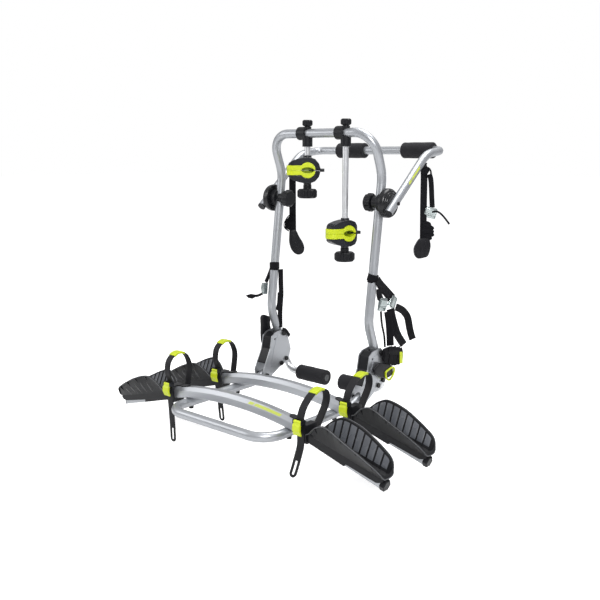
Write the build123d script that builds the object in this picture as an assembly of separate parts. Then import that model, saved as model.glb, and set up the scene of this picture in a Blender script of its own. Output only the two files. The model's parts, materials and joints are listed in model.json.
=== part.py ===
from build123d import *
import math
import os

# Two-bicycle carrier that straps onto a car's tailgate.
# The frame's origin is the middle of the two lower foam pads' common axis.
# X runs across the car, +Y points at the car and +Z points up.

# Main frame: one tube bent into an upside-down U
frame_width = 430.0
frame_tube = 30.0
frame_wall = 1.8
foot_y = -40.0
foot_z = 125.0
knee_y = -88.5
knee_z = 245.0
neck_y = -26.0
neck_z = 724.0
top_y = -78.0
top_z = 858.0
knee_bend = 105.0
neck_bend = 120.0
top_bend = 74.0

# Side plates, two on each side, that hold the platform and the lower arms
plate_thickness = 3.0
plate_clearance = 0.2
washer_thickness = 4.5
plate_corner = 8.0
plate_outline = [
    (-92, 158), (-46, 164), (-24, 137), (-7, 82), (-14, 63), (-28, 45),
    (-50, 30), (-71, 25), (-122, -4), (-146, -4), (-156, 27), (-119, 102), (-110, 146),
]
panel_outline = [
    (-80, 148), (-52, 132), (-30, 118), (-24, 84), (-44, 58), (-84, 36), (-118, 34), (-100, 100),
]
panel_height = 1.4
spacer_outline = [
    (-89, 154), (-107, 143), (-116, 101), (-145, 50), (-127, 53), (-96, 106), (-88, 134),
    (-75, 159),
]
top_bolt_z = 148.0
lower_bolt_y = -61.5
lower_bolt_z = 39.0
pin_hole_y = -93.5
pin_hole_z = 134.0
bolt_radius = 4.0
bolt_head_radius = 8.0
bolt_head_height = 5.0
collar_radius = 8.5
hole_clearance = 0.3
pin_clearance = 0.05

# Lower arms with their foam pads, which rest on the bumper
tilt_y = -34.5
tilt_z = 52.0
pivot_radius = 5.0
lower_tube = 25.0
lower_wall = 1.6
lower_top_y = -10.0
lower_top_z = 94.0
lower_bend = 45.0
lug_thickness = 10.0
lug_radius = 11.5
pad_diameter = 55.0
pad_grip = 0.2
pad_edge = 4.0
lower_pad_outer_end = 155.0
lower_pad_left_start = 27.0
lower_pad_right_start = 40.0
pad_end_wall = 4.0

# Platform: a U-shaped tube that folds up, with two arched cross tubes
fold_y = -139.5
fold_z = 8.0
rail_tube = 30.0
rail_wall = 1.8
rail_z = -10.0
rail_end_past_pivot = 12.0
rail_knee_y = -185.0
rail_front_y = -580.0
rail_knee_bend = 60.0
rail_corner_bend = 70.0
cross_front_y = -478.5
cross_rear_y = -263.5
cross_half_length = 290.0
cross_arch_radius = 1330.0
cross_width = 36.0
cross_height = 36.0
cross_bevel_run = 8.0
cross_bevel_drop = 12.0
cross_wall = 2.0
seat_gap = 0.1
nut_radius = 8.0
nut_height = 7.0

# End brackets that join each cross tube to its tray rail and carry the wheel strap
bracket_overlap = 11.0
bracket_reach = 12.0
bracket_side = 27.0
bracket_top = 34.0
bracket_bottom = -22.0
bracket_fit = 0.15
anchor_reach = 42.0
anchor_top = 15.0
anchor_bottom = -6.0
tab_from_end = 52.0
tab_length = 36.0
tab_width = 22.0
tab_thickness = 3.5
tab_arm_width = 9.0
tab_lift = 0.5

# Tray rails, bent down and outwards
tray_rail_gap = 2.5
tray_rail_run = 256.5
tray_rail_slope = 15.7
tray_rail_root_z = -4.0
tray_rail_width = 28.0
tray_rail_height = 20.0
tray_rail_wall = 1.8
cap_across = 31.0
cap_length = 15.0
end_plate_length = 3.0
cap_plug_length = 12.0
cap_fit = 0.1

# Wheel trays, boat-shaped scoops that slide along the rails; a station
# is its distance from the cross tube's end, half width and rim height
tray_outline = [
    (13, 30, 10), (28, 35, 17), (42, 40, 30), (56, 44, 42), (70, 47, 50), (86, 50, 56),
    (102, 52, 55.5), (120, 54, 51), (140, 57, 43.5), (160, 58, 35), (185, 56.5, 22.5),
    (210, 54, 9.5), (232, 51, -3), (250, 48, -14), (263, 42, -25), (271, 33, -38), (277, 19, -54),
]
tray_floor_line = [(13, 8), (281, -58)]
tray_skirt_line = [(13, -8), (146, -45), (255, -71), (266, -66), (277, -59)]
tray_base_half = 21.0
tray_cap_room = 18.4
tray_wall = 3.0
tray_lip_width = 4.0
tray_lip_thickness = 3.0
tray_rib_count = 9
tray_rib_height = 2.6
tray_rib_thickness = 3.0
tray_rib_first = 70.0
tray_rib_last = 258.0
gusset_count = 5
gusset_thickness = 3.0
gusset_first = 55.0
gusset_last = 245.0
gusset_depth = 26.0
saddle_end = 142.0
saddle_side = 20.0
saddle_drop = 20.0
slide_clearance = 0.35

# Wheel straps with their ratchet buckles
strap_from_end = 6.0
strap_width = 26.0
strap_thickness = 3.2
strap_gap = 0.3
strap_samples = 40
strap_slot_width = 9.0
strap_slot_length = 38.0
strap_low = -24.0
strap_foot_u = 45.0
strap_foot_z = 13.0
loop_left = [(-39, 85), (-33, 120), (-10, 141), (14, 144), (38, 132), (53, 105), (56, 80), (51, 45)]
loop_right = [(-15, 85), (17, 112), (52, 122), (80, 112), (88, 90), (82, 66), (64, 40)]
tail_front_left = [(-27, -49), (-24, -105), (-23, -159)]
tail_rear_left = [(-23, -49), (-18, -90), (-12, -146)]
tail_front_right = [(-37, -49), (-53, -85), (-67, -112)]
tail_rear_right = [(-31, -49), (-36, -80), (-42, -108)]
buckle_width = 33.0
buckle_wall = 2.5
buckle_top = 52.0
buckle_bottom = 8.0
buckle_plate = 3.0
lever_pin_radius = 2.0
lever_pin_out = 41.0
lever_pin_z = 46.0
lever_barrel = 4.5
lever_outline = [(-43, 44), (-50, 36), (-51, 22), (-44, 6), (-40.5, 7), (-45, 22), (-44, 34), (-39, 42)]

# Hubs of the upper arm
hub_z = 636.7
disc_radius = 47.0
disc_gap = 0.3
disc_thickness = 26.7
disc_notch_count = 20
disc_notch_radius = 2.2
saddle_radius = 31.0
saddle_inner_radius = 20.0
saddle_reach = 22.0
saddle_fit = 0.15
hub_knob_radius = 30.0
hub_knob_height = 25.0
hub_knob_neck = 12.0
hub_knob_neck_height = 3.0
hub_bolt_radius = 4.0
hub_bolt_reach = 13.0
hub_stub_gap = 1.0

# Upper arm, a U-shaped tube with two foam pads that rest on the tailgate
arm_offset = 57.0
arm_tube = 28.0
arm_wall = 1.6
arm_tail = 45.0
elbow_y = 143.0
elbow_z = 790.0
crossbar_y = 247.0
crossbar_z = 803.0
elbow_bend = 110.0
crossbar_bend = 32.0
upper_pad_length = 122.0
upper_pad_right_start = 116.0
upper_pad_left_start = -171.0
plug_thickness = 4.0
plug_depth = 12.0
arm_screw_radius = 6.0
arm_screw_height = 3.0

# Frame holders that hang from the top bar
holder_left_x = -54.0
holder_right_x = 107.0
clamp_width = 36.0
clamp_offset = 17.0
clamp_radius = 22.0
clamp_fit = 0.35
clamp_boss_radius = 13.0
clamp_boss_top = 22.0
clamp_socket_radius = 17.0
clamp_saddle_start = 11.0
clamp_socket_bottom = 43.5
clamp_knob_radius = 17.5
clamp_knob_height = 20.0
clamp_knob_neck = 10.0
clamp_knob_neck_height = 1.5
clamp_screw_radius = 3.0
clamp_screw_depth = 5.5
rod_radius = 10.0
rod_top_below_bar = 20.0
claw_left_drop = 121.0
claw_right_drop = 322.0
claw_left_yaw = 40.0
claw_right_yaw = 71.0
claw_thickness = 46.0
claw_end_round = 22.0
claw_room = 120.0  # how far the claw's cutting shapes reach, past its ends
liner_proud = 3.0
claw_outline = [
    (-67, 6), (-67, 15), (-61, 25), (-50, 32), (-30, 39), (-10, 43), (10, 43), (26, 37), (39, 22),
    (44, 6),
]
liner_start = -70.0
liner_half_height = 16.0
ring_x = 1.0
ring_radius = 26.0
eye_half_length = 21.0
eye_half_height = 10.0
jaw_gap = 0.3
slit_half = 2.2
tongue_start = 4.0
tongue_end = 43.0
tongue_thickness = 2.2
tongue_width = 20.0
tongue_tip = 11.0
tongue_tip_length = 14.0
claw_socket_radius = 14.0
claw_socket_top = 49.0
rod_seat = 31.0
claw_knob_radius = 34.0
claw_knob_height = 31.0
claw_knob_neck = 14.0
claw_knob_neck_height = 13.0
claw_neck_bottom = 49.0
claw_neck_radius = 13.0
claw_screw_radius = 4.0
claw_screw_depth = 12.0

# Webbing that ties the carrier to the car
web_width = 25.0
web_thickness = 3.0
facing_angle = 40.6
strap_drop = 28.0
strap_barrel = 4.0
strap_barrel_half = 9.0
strap_pin_radius = 1.5
anchor_pad_length = 18.0
anchor_pad_gap = 1.2
anchor_fit = 0.4
anchor_ear = 2.5
upper_strap_left_y = 95.0
upper_strap_right_y = 128.0
hook_thickness = 20.0
strap_run_left = [(-5, 0), (5, 0), (13, -14), (13, -222), (-13, -222), (-13, -14)]
strap_fold_left = [(-11, -154), (-36, -180), (-34, -206), (-11, -220)]
hook_left = [
    (-12, -216), (12, -216), (40, -256), (46, -284), (36, -304), (14, -306), (-6, -284),
    (-15, -256),
]
strap_run_right = [(-5, 0), (5, 0), (11, -14), (11, -236), (-12, -236), (-12, -14)]
top_knot_right = [(-11, -12), (10, -8), (25, -16), (23, -38), (-9, -38)]
knot_right = [(8, -180), (22, -190), (36, -202), (38, -218), (32, -234), (8, -244)]
hook_right = [
    (-12, -228), (20, -234), (24, -261), (16, -291), (3, -302), (-19, -304), (-31, -295),
    (-29, -276), (-19, -246),
]
second_run_right = [(14, -30), (24, -66), (29, -100), (31, -130)]
cam_right_upper = (27, -150)
thin_tail_right = [(44, -150), (60, -155), (74, -170), (88, -192)]
side_ring_z = 393.0
cam_thickness = 12.0
web_off_tube = 1.5
web_step = 4.0
diagonal_right = [
    (-70, 398), (-60, 400), (-33, 381), (24, 330), (13, 313), (-11, 323), (-43, 344), (-70, 376),
]
second_right = [(-70, 382), (-50, 376), (-32, 319), (-58, 319)]
tail_right_side = [
    (30, 293), (70, 284), (120, 251), (153, 201), (177, 152), (133, 151), (108, 192), (81, 236),
    (44, 268),
]
wide_right = [
    (-2, 294), (42, 292), (54, 235), (84, 192), (120, 147), (87, 137), (53, 161), (1, 174),
    (-15, 226), (0, 257),
]
thin_right = [(-49, 290), (-38, 290), (-29, 229), (-11, 179), (-20, 176), (-37, 223)]
cam_first = [(-6, 314), (33, 327), (57, 300), (18, 287)]
cam_second = [(-66, 322), (-46, 328), (-17, 316), (-20, 284), (-55, 284)]
bundle_right = [
    (-63, 164), (-21, 170), (31, 159), (57, 141), (56, 98), (22, 89), (-30, 106), (-59, 132),
]
hook_lower_right = [(-97, 104), (-61, 108), (-18, 97), (-12, 72), (-28, 58), (-60, 70), (-93, 87)]
run_left = [(-74, 388), (-64, 380), (-87, 334), (-104, 340)]
tail_left_side = [
    (-112, 303), (-140, 301), (-182, 310), (-201, 303), (-187, 291), (-155, 288), (-112, 295),
]
behind_left = [
    (-62, 386), (-50, 386), (-46, 340), (-43, 296), (-45, 246), (-50, 168), (-64, 168), (-84, 236),
    (-60, 249), (-58, 298),
]
end_left = [(-67, 167), (-42, 170), (-15, 137), (-23, 130), (-44, 145)]
cam_left = [(-116, 336), (-90, 339), (-88, 295), (-112, 296)]
bundle_left = [
    (-98, 219), (-110, 212), (-108, 185), (-109, 150), (-108, 122), (-98, 102), (-85, 108),
    (-64, 133), (-62, 155), (-68, 178), (-66, 206),
]
bundle_thickness = 11.6
strap_seat = 0.3


def mirrored(solid):
    """The same piece on the other side of the carrier."""
    return mirror(solid, about=Plane.YZ)


def leg_y(z):
    """Y of the main frame's centre line at a height."""
    points = [(foot_y, foot_z), (knee_y, knee_z), (neck_y, neck_z), (top_y, top_z)]
    for (y0, z0), (y1, z1) in zip(points, points[1:]):
        if z <= z1:
            return y0 + (y1 - y0) * (z - z0) / (z1 - z0)
    return top_y


def bent_tube(points, bends, outer, wall):
    """An open tube along straight runs joined by arcs."""
    path = FilletPolyline(*points, radius=bends)
    start = Plane(origin=path @ 0, z_dir=path % 0)
    skin = sweep(start * Circle(outer / 2), path=path)
    bore = sweep(start * Circle(outer / 2 - wall), path=path)
    return skin - bore


def band(points, bends, width, thickness):
    """A flat strap in a plane across X, its width along X."""
    path = FilletPolyline(*points, radius=bends)
    start = Plane(origin=path @ 0, x_dir=(1, 0, 0), z_dir=path % 0)
    return sweep(start * Rectangle(width, thickness), path=path)


def x_rod(x0, x1, y, z, radius):
    """A round bar along X from x0 to x1."""
    plane = Plane(origin=(min(x0, x1), y, z), x_dir=(0, 1, 0), z_dir=(1, 0, 0))
    return extrude(plane * Circle(radius), amount=abs(x1 - x0))


def side_slab(outline, x0, x1, corner=0.0):
    """A plate with an outline of (y, z) points, from x0 to x1."""
    shape = Polygon(*outline, align=None)
    if corner > 0:
        shape = fillet(shape.vertices(), corner)
    return extrude(Plane.YZ.offset(min(x0, x1)) * shape, amount=abs(x1 - x0), dir=(1, 0, 0))


def box_between(low, high):
    """A box given by its two opposite corners."""
    size = [h - l for l, h in zip(low, high)]
    middle = [(h + l) / 2 for l, h in zip(low, high)]
    return Pos(*middle) * Box(*size)


def fluted_knob(radius, height, neck_radius, neck_height, screw_radius, screw_depth, flutes=8):
    """A hand knob on its screw; the neck's face is at z = 0 and the screw points up."""
    flute = radius * 0.28
    outline = Circle(radius)
    for i in range(flutes):
        angle = 2 * math.pi * i / flutes
        reach = radius + flute * 0.45
        outline -= Pos(reach * math.cos(angle), reach * math.sin(angle)) * Circle(flute)
    grip = Pos(0, 0, -neck_height - height) * extrude(outline, amount=height)
    edge = height * 0.2
    low = -neck_height - height
    profile = Polyline(
        (0, low), (radius - edge, low), (radius, low + edge), (radius, -neck_height - edge),
        (radius - edge, -neck_height), (0, -neck_height), close=True,
    )
    turned = revolve(Plane.XZ * make_face(profile), axis=Axis.Z)
    knob = grip & turned
    knob += Pos(0, 0, -neck_height / 2 - 0.5) * Cylinder(neck_radius, neck_height + 1)
    knob += Pos(0, 0, screw_depth / 2 - 0.5) * Cylinder(screw_radius, screw_depth + 1)
    return knob


# Derived places of the main frame
half_width = frame_width / 2
saddle_inner_x = half_width - saddle_reach
saddle_outer_x = half_width + saddle_reach
disc_inner_x = saddle_outer_x + disc_gap
disc_outer_x = disc_inner_x + disc_thickness
hub_bolt_end_x = half_width + hub_bolt_reach
arm_x = half_width + arm_offset
web_outer_x = half_width + frame_tube / 2 + web_off_tube
web_inner_x = web_outer_x - web_step
hub_y = leg_y(hub_z)
top_bolt_y = leg_y(top_bolt_z)
plate_inner_x = half_width - frame_tube / 2 - washer_thickness
plate_outer_x = half_width + frame_tube / 2 + washer_thickness
lower_bolts = [(lower_bolt_y, lower_bolt_z)]
frame_bolt_places = [(top_bolt_y, top_bolt_z)] + lower_bolts
pivot_places = [(tilt_y, tilt_z), (fold_y, fold_z)]


def past_end(points):
    """Points whose first number counts from the cross tube's end, in the carrier's frame."""
    return [(cross_half_length + point[0], *point[1:]) for point in points]


# Derived places of the platform's ends
bracket_inner_x = cross_half_length - bracket_overlap
bracket_outer_x = cross_half_length + bracket_reach
tab_x = cross_half_length - tab_from_end
strap_x = cross_half_length - strap_from_end
tray_rail_start_x = cross_half_length + tray_rail_gap
tray_rail_end_x = tray_rail_start_x + tray_rail_run
tray_stations = past_end(tray_outline)
tray_floor = past_end(tray_floor_line)
tray_skirt = past_end(tray_skirt_line)
tray_rib_first_x = cross_half_length + tray_rib_first
tray_rib_last_x = cross_half_length + tray_rib_last
gusset_first_x = cross_half_length + gusset_first
gusset_last_x = cross_half_length + gusset_last
saddle_end_x = cross_half_length + saddle_end


def make_upright_frame():
    """The bent tube, with the holes for its bolts."""
    side = [(foot_y, foot_z), (knee_y, knee_z), (neck_y, neck_z), (top_y, top_z)]
    points = [(-half_width, y, z) for y, z in side] + [(half_width, y, z) for y, z in reversed(side)]
    bends = [knee_bend, neck_bend, top_bend, top_bend, neck_bend, knee_bend]
    frame = bent_tube(points, bends, frame_tube, frame_wall)
    reach = half_width + frame_tube
    frame -= x_rod(-reach, reach, top_bolt_y, top_bolt_z, bolt_radius + hole_clearance)
    frame -= x_rod(-reach, reach, hub_y, hub_z, hub_bolt_radius + hole_clearance)
    return frame


def make_side_plate(x0, x1, panel_out):
    """One pressed plate with its raised panel and bolt holes; panel_out is -1 or 1."""
    plate = side_slab(plate_outline, x0, x1, plate_corner)
    face = max(x0, x1) if panel_out > 0 else min(x0, x1)
    plate += side_slab(panel_outline, face, face + panel_out * panel_height, plate_corner)
    low = min(x0, x1) - 2 * panel_height
    high = max(x0, x1) + 2 * panel_height
    for y, z in frame_bolt_places:
        plate -= x_rod(low, high, y, z, bolt_radius + hole_clearance)
    for y, z in pivot_places:
        plate -= x_rod(low, high, y, z, pivot_radius + hole_clearance)
    plate -= x_rod(low, high, pin_hole_y, pin_hole_z, bolt_radius)
    return plate


def make_bracket_spacer():
    """The moulded spacer that fills the plates' front edge, right side."""
    x0 = plate_inner_x + plate_clearance
    x1 = plate_outer_x - plate_clearance
    return side_slab(spacer_outline, x0, x1, 3.0)


def make_bolt(y, z, radius, tube_outer):
    """A through bolt with head, nut and two collars beside the tube it crosses, right side."""
    inner_face = plate_inner_x - plate_thickness - panel_height
    outer_face = plate_outer_x + plate_thickness + panel_height
    bolt = x_rod(inner_face - bolt_head_height, outer_face + bolt_head_height, y, z, radius)
    bolt += x_rod(inner_face - bolt_head_height, inner_face - 0.1, y, z, bolt_head_radius)
    bolt += x_rod(outer_face + 0.1, outer_face + bolt_head_height, y, z, bolt_head_radius)
    tube_low = half_width - tube_outer / 2 - hole_clearance
    tube_high = half_width + tube_outer / 2 + hole_clearance
    bolt += x_rod(plate_inner_x + 0.1, tube_low, y, z, collar_radius)
    bolt += x_rod(tube_high, plate_outer_x - 0.1, y, z, collar_radius)
    return bolt


def make_frame_bolts():
    """All bolts of the side plates, in one group."""
    right = [make_bolt(top_bolt_y, top_bolt_z, bolt_radius, frame_tube)]
    right.append(make_bolt(lower_bolt_y, lower_bolt_z, bolt_radius, lug_thickness))
    right.append(make_bolt(tilt_y, tilt_z, pivot_radius, lug_thickness))
    right.append(make_bolt(fold_y, fold_z, pivot_radius, rail_tube))
    return right + [mirrored(b) for b in right]


def lower_arm_points(pad_start):
    """Centre line of the right lower arm, from its top to its inner end."""
    pad_inside = pad_start + pad_end_wall + 1
    return [(half_width, lower_top_y, lower_top_z), (half_width, 0, 0), (pad_inside, 0, 0)]


def make_lower_arm(pad_start):
    """The right J-shaped arm with the lug that its pivot bolt passes through."""
    arm = bent_tube(lower_arm_points(pad_start), lower_bend, lower_tube, lower_wall)
    lean = lower_top_y / lower_top_z
    low_z = tilt_z - lug_radius
    high_z = lower_top_z - 6
    web = [
        (tilt_y, low_z), (low_z * lean, low_z), (high_z * lean, high_z), (tilt_y, tilt_z + lug_radius),
    ]
    x0 = half_width - lug_thickness / 2
    x1 = half_width + lug_thickness / 2
    lug = side_slab(web, x0, x1) + x_rod(x0, x1, tilt_y, tilt_z, lug_radius)
    inner = lower_tube / 2 - lower_wall
    foot = (half_width, low_z * lean - 20 * lean, low_z - 20)
    direction = (0, lower_top_y, lower_top_z)
    lug -= extrude(Plane(origin=foot, z_dir=direction) * Circle(inner), amount=lower_top_z)
    arm += lug
    return arm - x_rod(x0 - 1, x1 + 1, tilt_y, tilt_z, pivot_radius + pin_clearance)


def foam_pad(x0, x1, y, z, tube_outer, closed_low=0.0):
    """A foam sleeve along X, closed at its x0 end where closed_low is not zero."""
    pad = x_rod(x0, x1, y, z, pad_diameter / 2)
    rims = pad.edges().filter_by(GeomType.CIRCLE)
    pad = fillet(rims, pad_edge)
    bore_start = x0 + closed_low if closed_low else x0 - 1
    return pad - x_rod(bore_start, x1 + 1, y, z, tube_outer / 2 + pad_grip)


def make_lower_pad(pad_start):
    """A lower pad on the right, closed at its inner end."""
    return foam_pad(pad_start, lower_pad_outer_end, 0, 0, lower_tube, pad_end_wall)


# Derived places of the platform
rail_half = rail_tube / 2
fold_run = math.hypot(fold_y - rail_knee_y, fold_z - rail_z)
rail_up = ((fold_y - rail_knee_y) / fold_run, (fold_z - rail_z) / fold_run)
arch_to_rail = cross_arch_radius - cross_height / 2 - rail_half - seat_gap
cross_middle_z = rail_z - math.sqrt(arch_to_rail ** 2 - half_width ** 2) + cross_arch_radius


def arch_z(x):
    """Height of the cross tube's centre line at a distance from the middle."""
    return cross_middle_z - cross_arch_radius + math.sqrt(cross_arch_radius ** 2 - x ** 2)


def make_platform_loop():
    """The U-shaped tube of the platform, with holes for pivots and cross-tube bolts."""
    end_y = fold_y + rail_up[0] * rail_end_past_pivot
    end_z = fold_z + rail_up[1] * rail_end_past_pivot
    side = [(end_y, end_z), (rail_knee_y, rail_z), (rail_front_y, rail_z)]
    points = [(-half_width, y, z) for y, z in side] + [(half_width, y, z) for y, z in reversed(side)]
    bends = [rail_knee_bend, rail_corner_bend, rail_corner_bend, rail_knee_bend]
    loop = bent_tube(points, bends, rail_tube, rail_wall)
    reach = half_width + rail_tube
    loop -= x_rod(-reach, reach, fold_y, fold_z, pivot_radius + pin_clearance)
    for y in (cross_front_y, cross_rear_y):
        for x in (-half_width, half_width):
            loop -= Pos(x, y, rail_z) * Cylinder(bolt_radius + hole_clearance, rail_tube + 2)
    return loop


def cross_section(grow):
    """Bevelled section of a cross tube, grown outwards by a margin."""
    w = cross_width / 2 + grow
    h = cross_height / 2 + grow
    lower = 4.0
    return Polygon(
        (-w, -h + lower), (-w + lower, -h), (w - lower, -h), (w, -h + lower),
        (w, h - cross_bevel_drop), (w - cross_bevel_run, h),
        (-w + cross_bevel_run, h), (-w, h - cross_bevel_drop),
        align=None,
    )


def arched_bar(y, grow):
    """A solid arched bar over the full width of the platform."""
    half_angle = math.degrees(math.asin(cross_half_length / cross_arch_radius))
    middle = Plane(origin=(0, y, cross_middle_z), x_dir=(0, 1, 0), z_dir=(1, 0, 0))
    hinge = Axis((0, y, cross_middle_z - cross_arch_radius), (0, 1, 0))
    bar = revolve(middle * cross_section(grow), axis=hinge, revolution_arc=2 * half_angle)
    return bar.rotate(hinge, -half_angle)


def make_cross_tube(y):
    """An arched hollow cross tube, drilled over the two rails."""
    tube = arched_bar(y, 0) - arched_bar(y, -cross_wall)
    for x in (-half_width, half_width):
        z = rail_z + rail_half
        tube -= Pos(x, y, z) * Cylinder(bolt_radius + hole_clearance, 4 * cross_wall + 4)
    return tube


def make_platform_bolts():
    """Bolts and nuts that hold the cross tubes on the rails, in one group."""
    bolts = []
    top = rail_z + rail_half + seat_gap + cross_wall + 2
    bottom = rail_z - rail_half - 0.1 - nut_height
    head = 4.0
    for y in (cross_front_y, cross_rear_y):
        for x in (-half_width, half_width):
            shank = box_between((x - 1, y - 1, bottom), (x + 1, y + 1, top))
            shank += Pos(x, y, (top + bottom) / 2) * Cylinder(bolt_radius, top - bottom)
            shank += Pos(x, y, top + head / 2) * Cylinder(nut_radius, head)
            nut = extrude(Pos(x, y, bottom) * RegularPolygon(nut_radius, 6), amount=nut_height)
            bolts.append(shank + nut)
    return bolts


def rail_height_at(x):
    """Height of the tray rail's centre line, right side."""
    return tray_rail_root_z - (x - tray_rail_start_x) * math.tan(math.radians(tray_rail_slope))


def rail_bar(y, x0, x1, grow, width=tray_rail_width, height=tray_rail_height):
    """A solid bar along a tray rail's line from x0 to x1, right side."""
    start = Plane(
        origin=(x0, y, rail_height_at(x0)), x_dir=(0, 1, 0),
        z_dir=(math.cos(math.radians(tray_rail_slope)), 0, -math.sin(math.radians(tray_rail_slope))),
    )
    run = (x1 - x0) / math.cos(math.radians(tray_rail_slope))
    return extrude(start * Rectangle(width + 2 * grow, height + 2 * grow), amount=run)


def make_tray_rail(y):
    """A box tube under a wheel tray, right side."""
    outer = rail_bar(y, tray_rail_start_x, tray_rail_end_x, 0)
    return outer - rail_bar(y, tray_rail_start_x - 1, tray_rail_end_x + 1, -tray_rail_wall)


def make_rail_cap(y):
    """The six-sided cap in a tray rail's outer end, right side."""
    slope = math.radians(tray_rail_slope)
    x0 = tray_rail_end_x + 0.1
    face = Plane(
        origin=(x0, y, rail_height_at(x0)), x_dir=(0, 1, 0), z_dir=(math.cos(slope), 0, -math.sin(slope)),
    )
    cap = extrude(face * RegularPolygon(cap_across / 2, 6, major_radius=False), amount=cap_length)
    cap = chamfer(cap.faces().sort_by(Axis.X)[-1].edges(), 2.0)
    return cap + rail_plug(y)


def rail_plug(y):
    """The part of an end piece that sits inside a tray rail, right side."""
    start = tray_rail_end_x - cap_plug_length
    return rail_bar(y, start, tray_rail_end_x + 0.6, -tray_rail_wall - cap_fit)


def make_rail_end(y):
    """The thin end plate in a left tray rail, drawn on the right side."""
    x0 = tray_rail_end_x + 0.1
    return rail_bar(y, x0, x0 + end_plate_length, 0) + rail_plug(y)


def tray_y_places():
    """Y of the trays' middle planes, front one first."""
    return (cross_front_y, cross_rear_y)


def make_end_bracket(y):
    """Moulded socket between a cross tube and its tray rail, with the long tab on top, right side."""
    low = (bracket_inner_x, y - bracket_side, bracket_bottom)
    high = (bracket_outer_x, y + bracket_side, bracket_top)
    block = box_between(low, high)
    block = chamfer(block.edges().filter_by(Axis.X), 5.0)
    anchor_low = (strap_x - strap_width / 2, y + bracket_side - 1, anchor_bottom)
    anchor_high = (strap_x + strap_width / 2, y + anchor_reach, anchor_top)
    block += box_between(anchor_low, anchor_high)
    block -= arched_bar(y, bracket_fit)
    block -= rail_bar(y, tray_rail_start_x - 0.5, bracket_outer_x + 20, bracket_fit)
    slope = math.degrees(math.asin(tab_x / cross_arch_radius))
    seat = arch_z(tab_x) + cross_height / 2 + tab_lift
    tab = SlotOverall(tab_length, tab_width)
    arm_length = bracket_inner_x + 12 - tab_x
    tab += Pos(arm_length / 2, 0) * Rectangle(arm_length, tab_arm_width)
    tab_solid = extrude(tab, amount=tab_thickness)
    return block + Pos(tab_x, y, seat) * Rot(0, slope, 0) * tab_solid


def make_wheel_strap(side, y, tail):
    """Loop over the wheel and the slotted tail, one band through the buckle; side is -1 or 1."""
    near = -bracket_side - strap_gap - strap_thickness / 2
    loop = loop_left if side < 0 else loop_right
    above = [(near, buckle_top + 2)] + loop + [(strap_foot_u, strap_foot_z)]
    below = [(near, strap_low)] + tail
    foot = (strap_foot_u - loop[-1][0], strap_foot_z - loop[-1][1])
    tip = (tail[-1][0] - tail[-2][0], tail[-1][1] - tail[-2][1])
    upper_left, upper_right = band_sides(Spline(*above, tangents=[(0, 1), foot]), strap_samples)
    lower_left, lower_right = band_sides(Spline(*below, tangents=[(0, -1), tip]), strap_samples // 2)
    outline = upper_left + upper_right[::-1] + lower_left + lower_right[::-1]
    side_view = Plane.YZ.offset(side * strap_x) * (Pos(y, 0) * Polygon(*outline, align=None))
    strap = extrude(side_view, amount=strap_width / 2, both=True)
    return strap - tail_trim(side * strap_x, y + tail[-1][0], tail[-1][1], tip[0], tip[1])


def band_sides(path, count):
    """Points on both faces of a band, seen from the side, along its middle line."""
    left, right = [], []
    half = strap_thickness / 2
    for k in range(count + 1):
        point = path @ (k / count)
        run = path % (k / count)
        left.append((point.X - run.Y * half, point.Y + run.X * half))
        right.append((point.X + run.Y * half, point.Y - run.X * half))
    return left, right


def tail_trim(x, y, z, along_y, along_z):
    """What is cut from a strap's end: the long slot and the two corners."""
    end = Plane(origin=(x, y, z), x_dir=(1, 0, 0), z_dir=(0, -along_z, along_y))
    corners = Pos(0, -strap_width / 4) * Rectangle(strap_width + 2, strap_width / 2 + 0.02)
    corners -= Pos(0, -strap_width / 2) * Circle(strap_width / 2)
    slot = Pos(0, -10 - strap_slot_length / 2) * Rot(0, 0, 90)
    slot = slot * SlotOverall(strap_slot_length, strap_slot_width)
    turned = [extrude(end * shape, amount=5 * strap_thickness, both=True) for shape in (corners, slot)]
    return turned[0] + turned[1]


def buckle_out():
    """How far the buckle's plate stands from the tray's middle plane."""
    return bracket_side + 2 * strap_gap + strap_thickness


def make_ratchet_buckle(y):
    """Base plate, two cheeks and the lever's pin, right side."""
    out = buckle_out()
    x0 = strap_x - buckle_width / 2
    x1 = strap_x + buckle_width / 2
    base = box_between((x0, y - out - buckle_plate, buckle_bottom), (x1, y - out, buckle_top))
    for low in (x0, x1 - buckle_wall):
        back_high = (low + buckle_wall, y - bracket_side - 0.1, buckle_top)
        back = box_between((low, y - out - 1, buckle_bottom), back_high)
        cheek_low = (low, y - lever_pin_out - lever_barrel, lever_pin_z - 7)
        cheek = box_between(cheek_low, (low + buckle_wall, y - out - 1, buckle_top))
        base += back + cheek
    return base + x_rod(x0 + 1, x1 - 1, y - lever_pin_out, lever_pin_z, lever_pin_radius)


def make_ratchet_lever(side, y):
    """The curved hand lever that turns on the buckle's pin; side is -1 or 1."""
    inner = buckle_width / 2 - buckle_wall - 0.4
    x = side * strap_x
    outline = [(y + u, z) for u, z in lever_outline]
    lever = side_slab(outline, x - inner, x + inner)
    lever += x_rod(x - inner, x + inner, y - lever_pin_out, lever_pin_z, lever_barrel)
    hole = lever_pin_radius + pin_clearance
    return lever - x_rod(x - inner - 1, x + inner + 1, y - lever_pin_out, lever_pin_z, hole)


def spread(first, last, count):
    """Evenly spaced values from first to last."""
    return [first + (last - first) * i / (count - 1) for i in range(count)]


def line_z(points, x):
    """Height at x on a line through (x, z) points."""
    for (x0, z0), (x1, z1) in zip(points, points[1:]):
        if x <= x1:
            return z0 + (z1 - z0) * (x - x0) / (x1 - x0)
    return points[-1][1]


def rim_at(x):
    """Half width and height of the tray's rim at a place along it."""
    half = line_z([(place, width) for place, width, height in tray_stations], x)
    return half, line_z([(place, height) for place, width, height in tray_stations], x)


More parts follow.
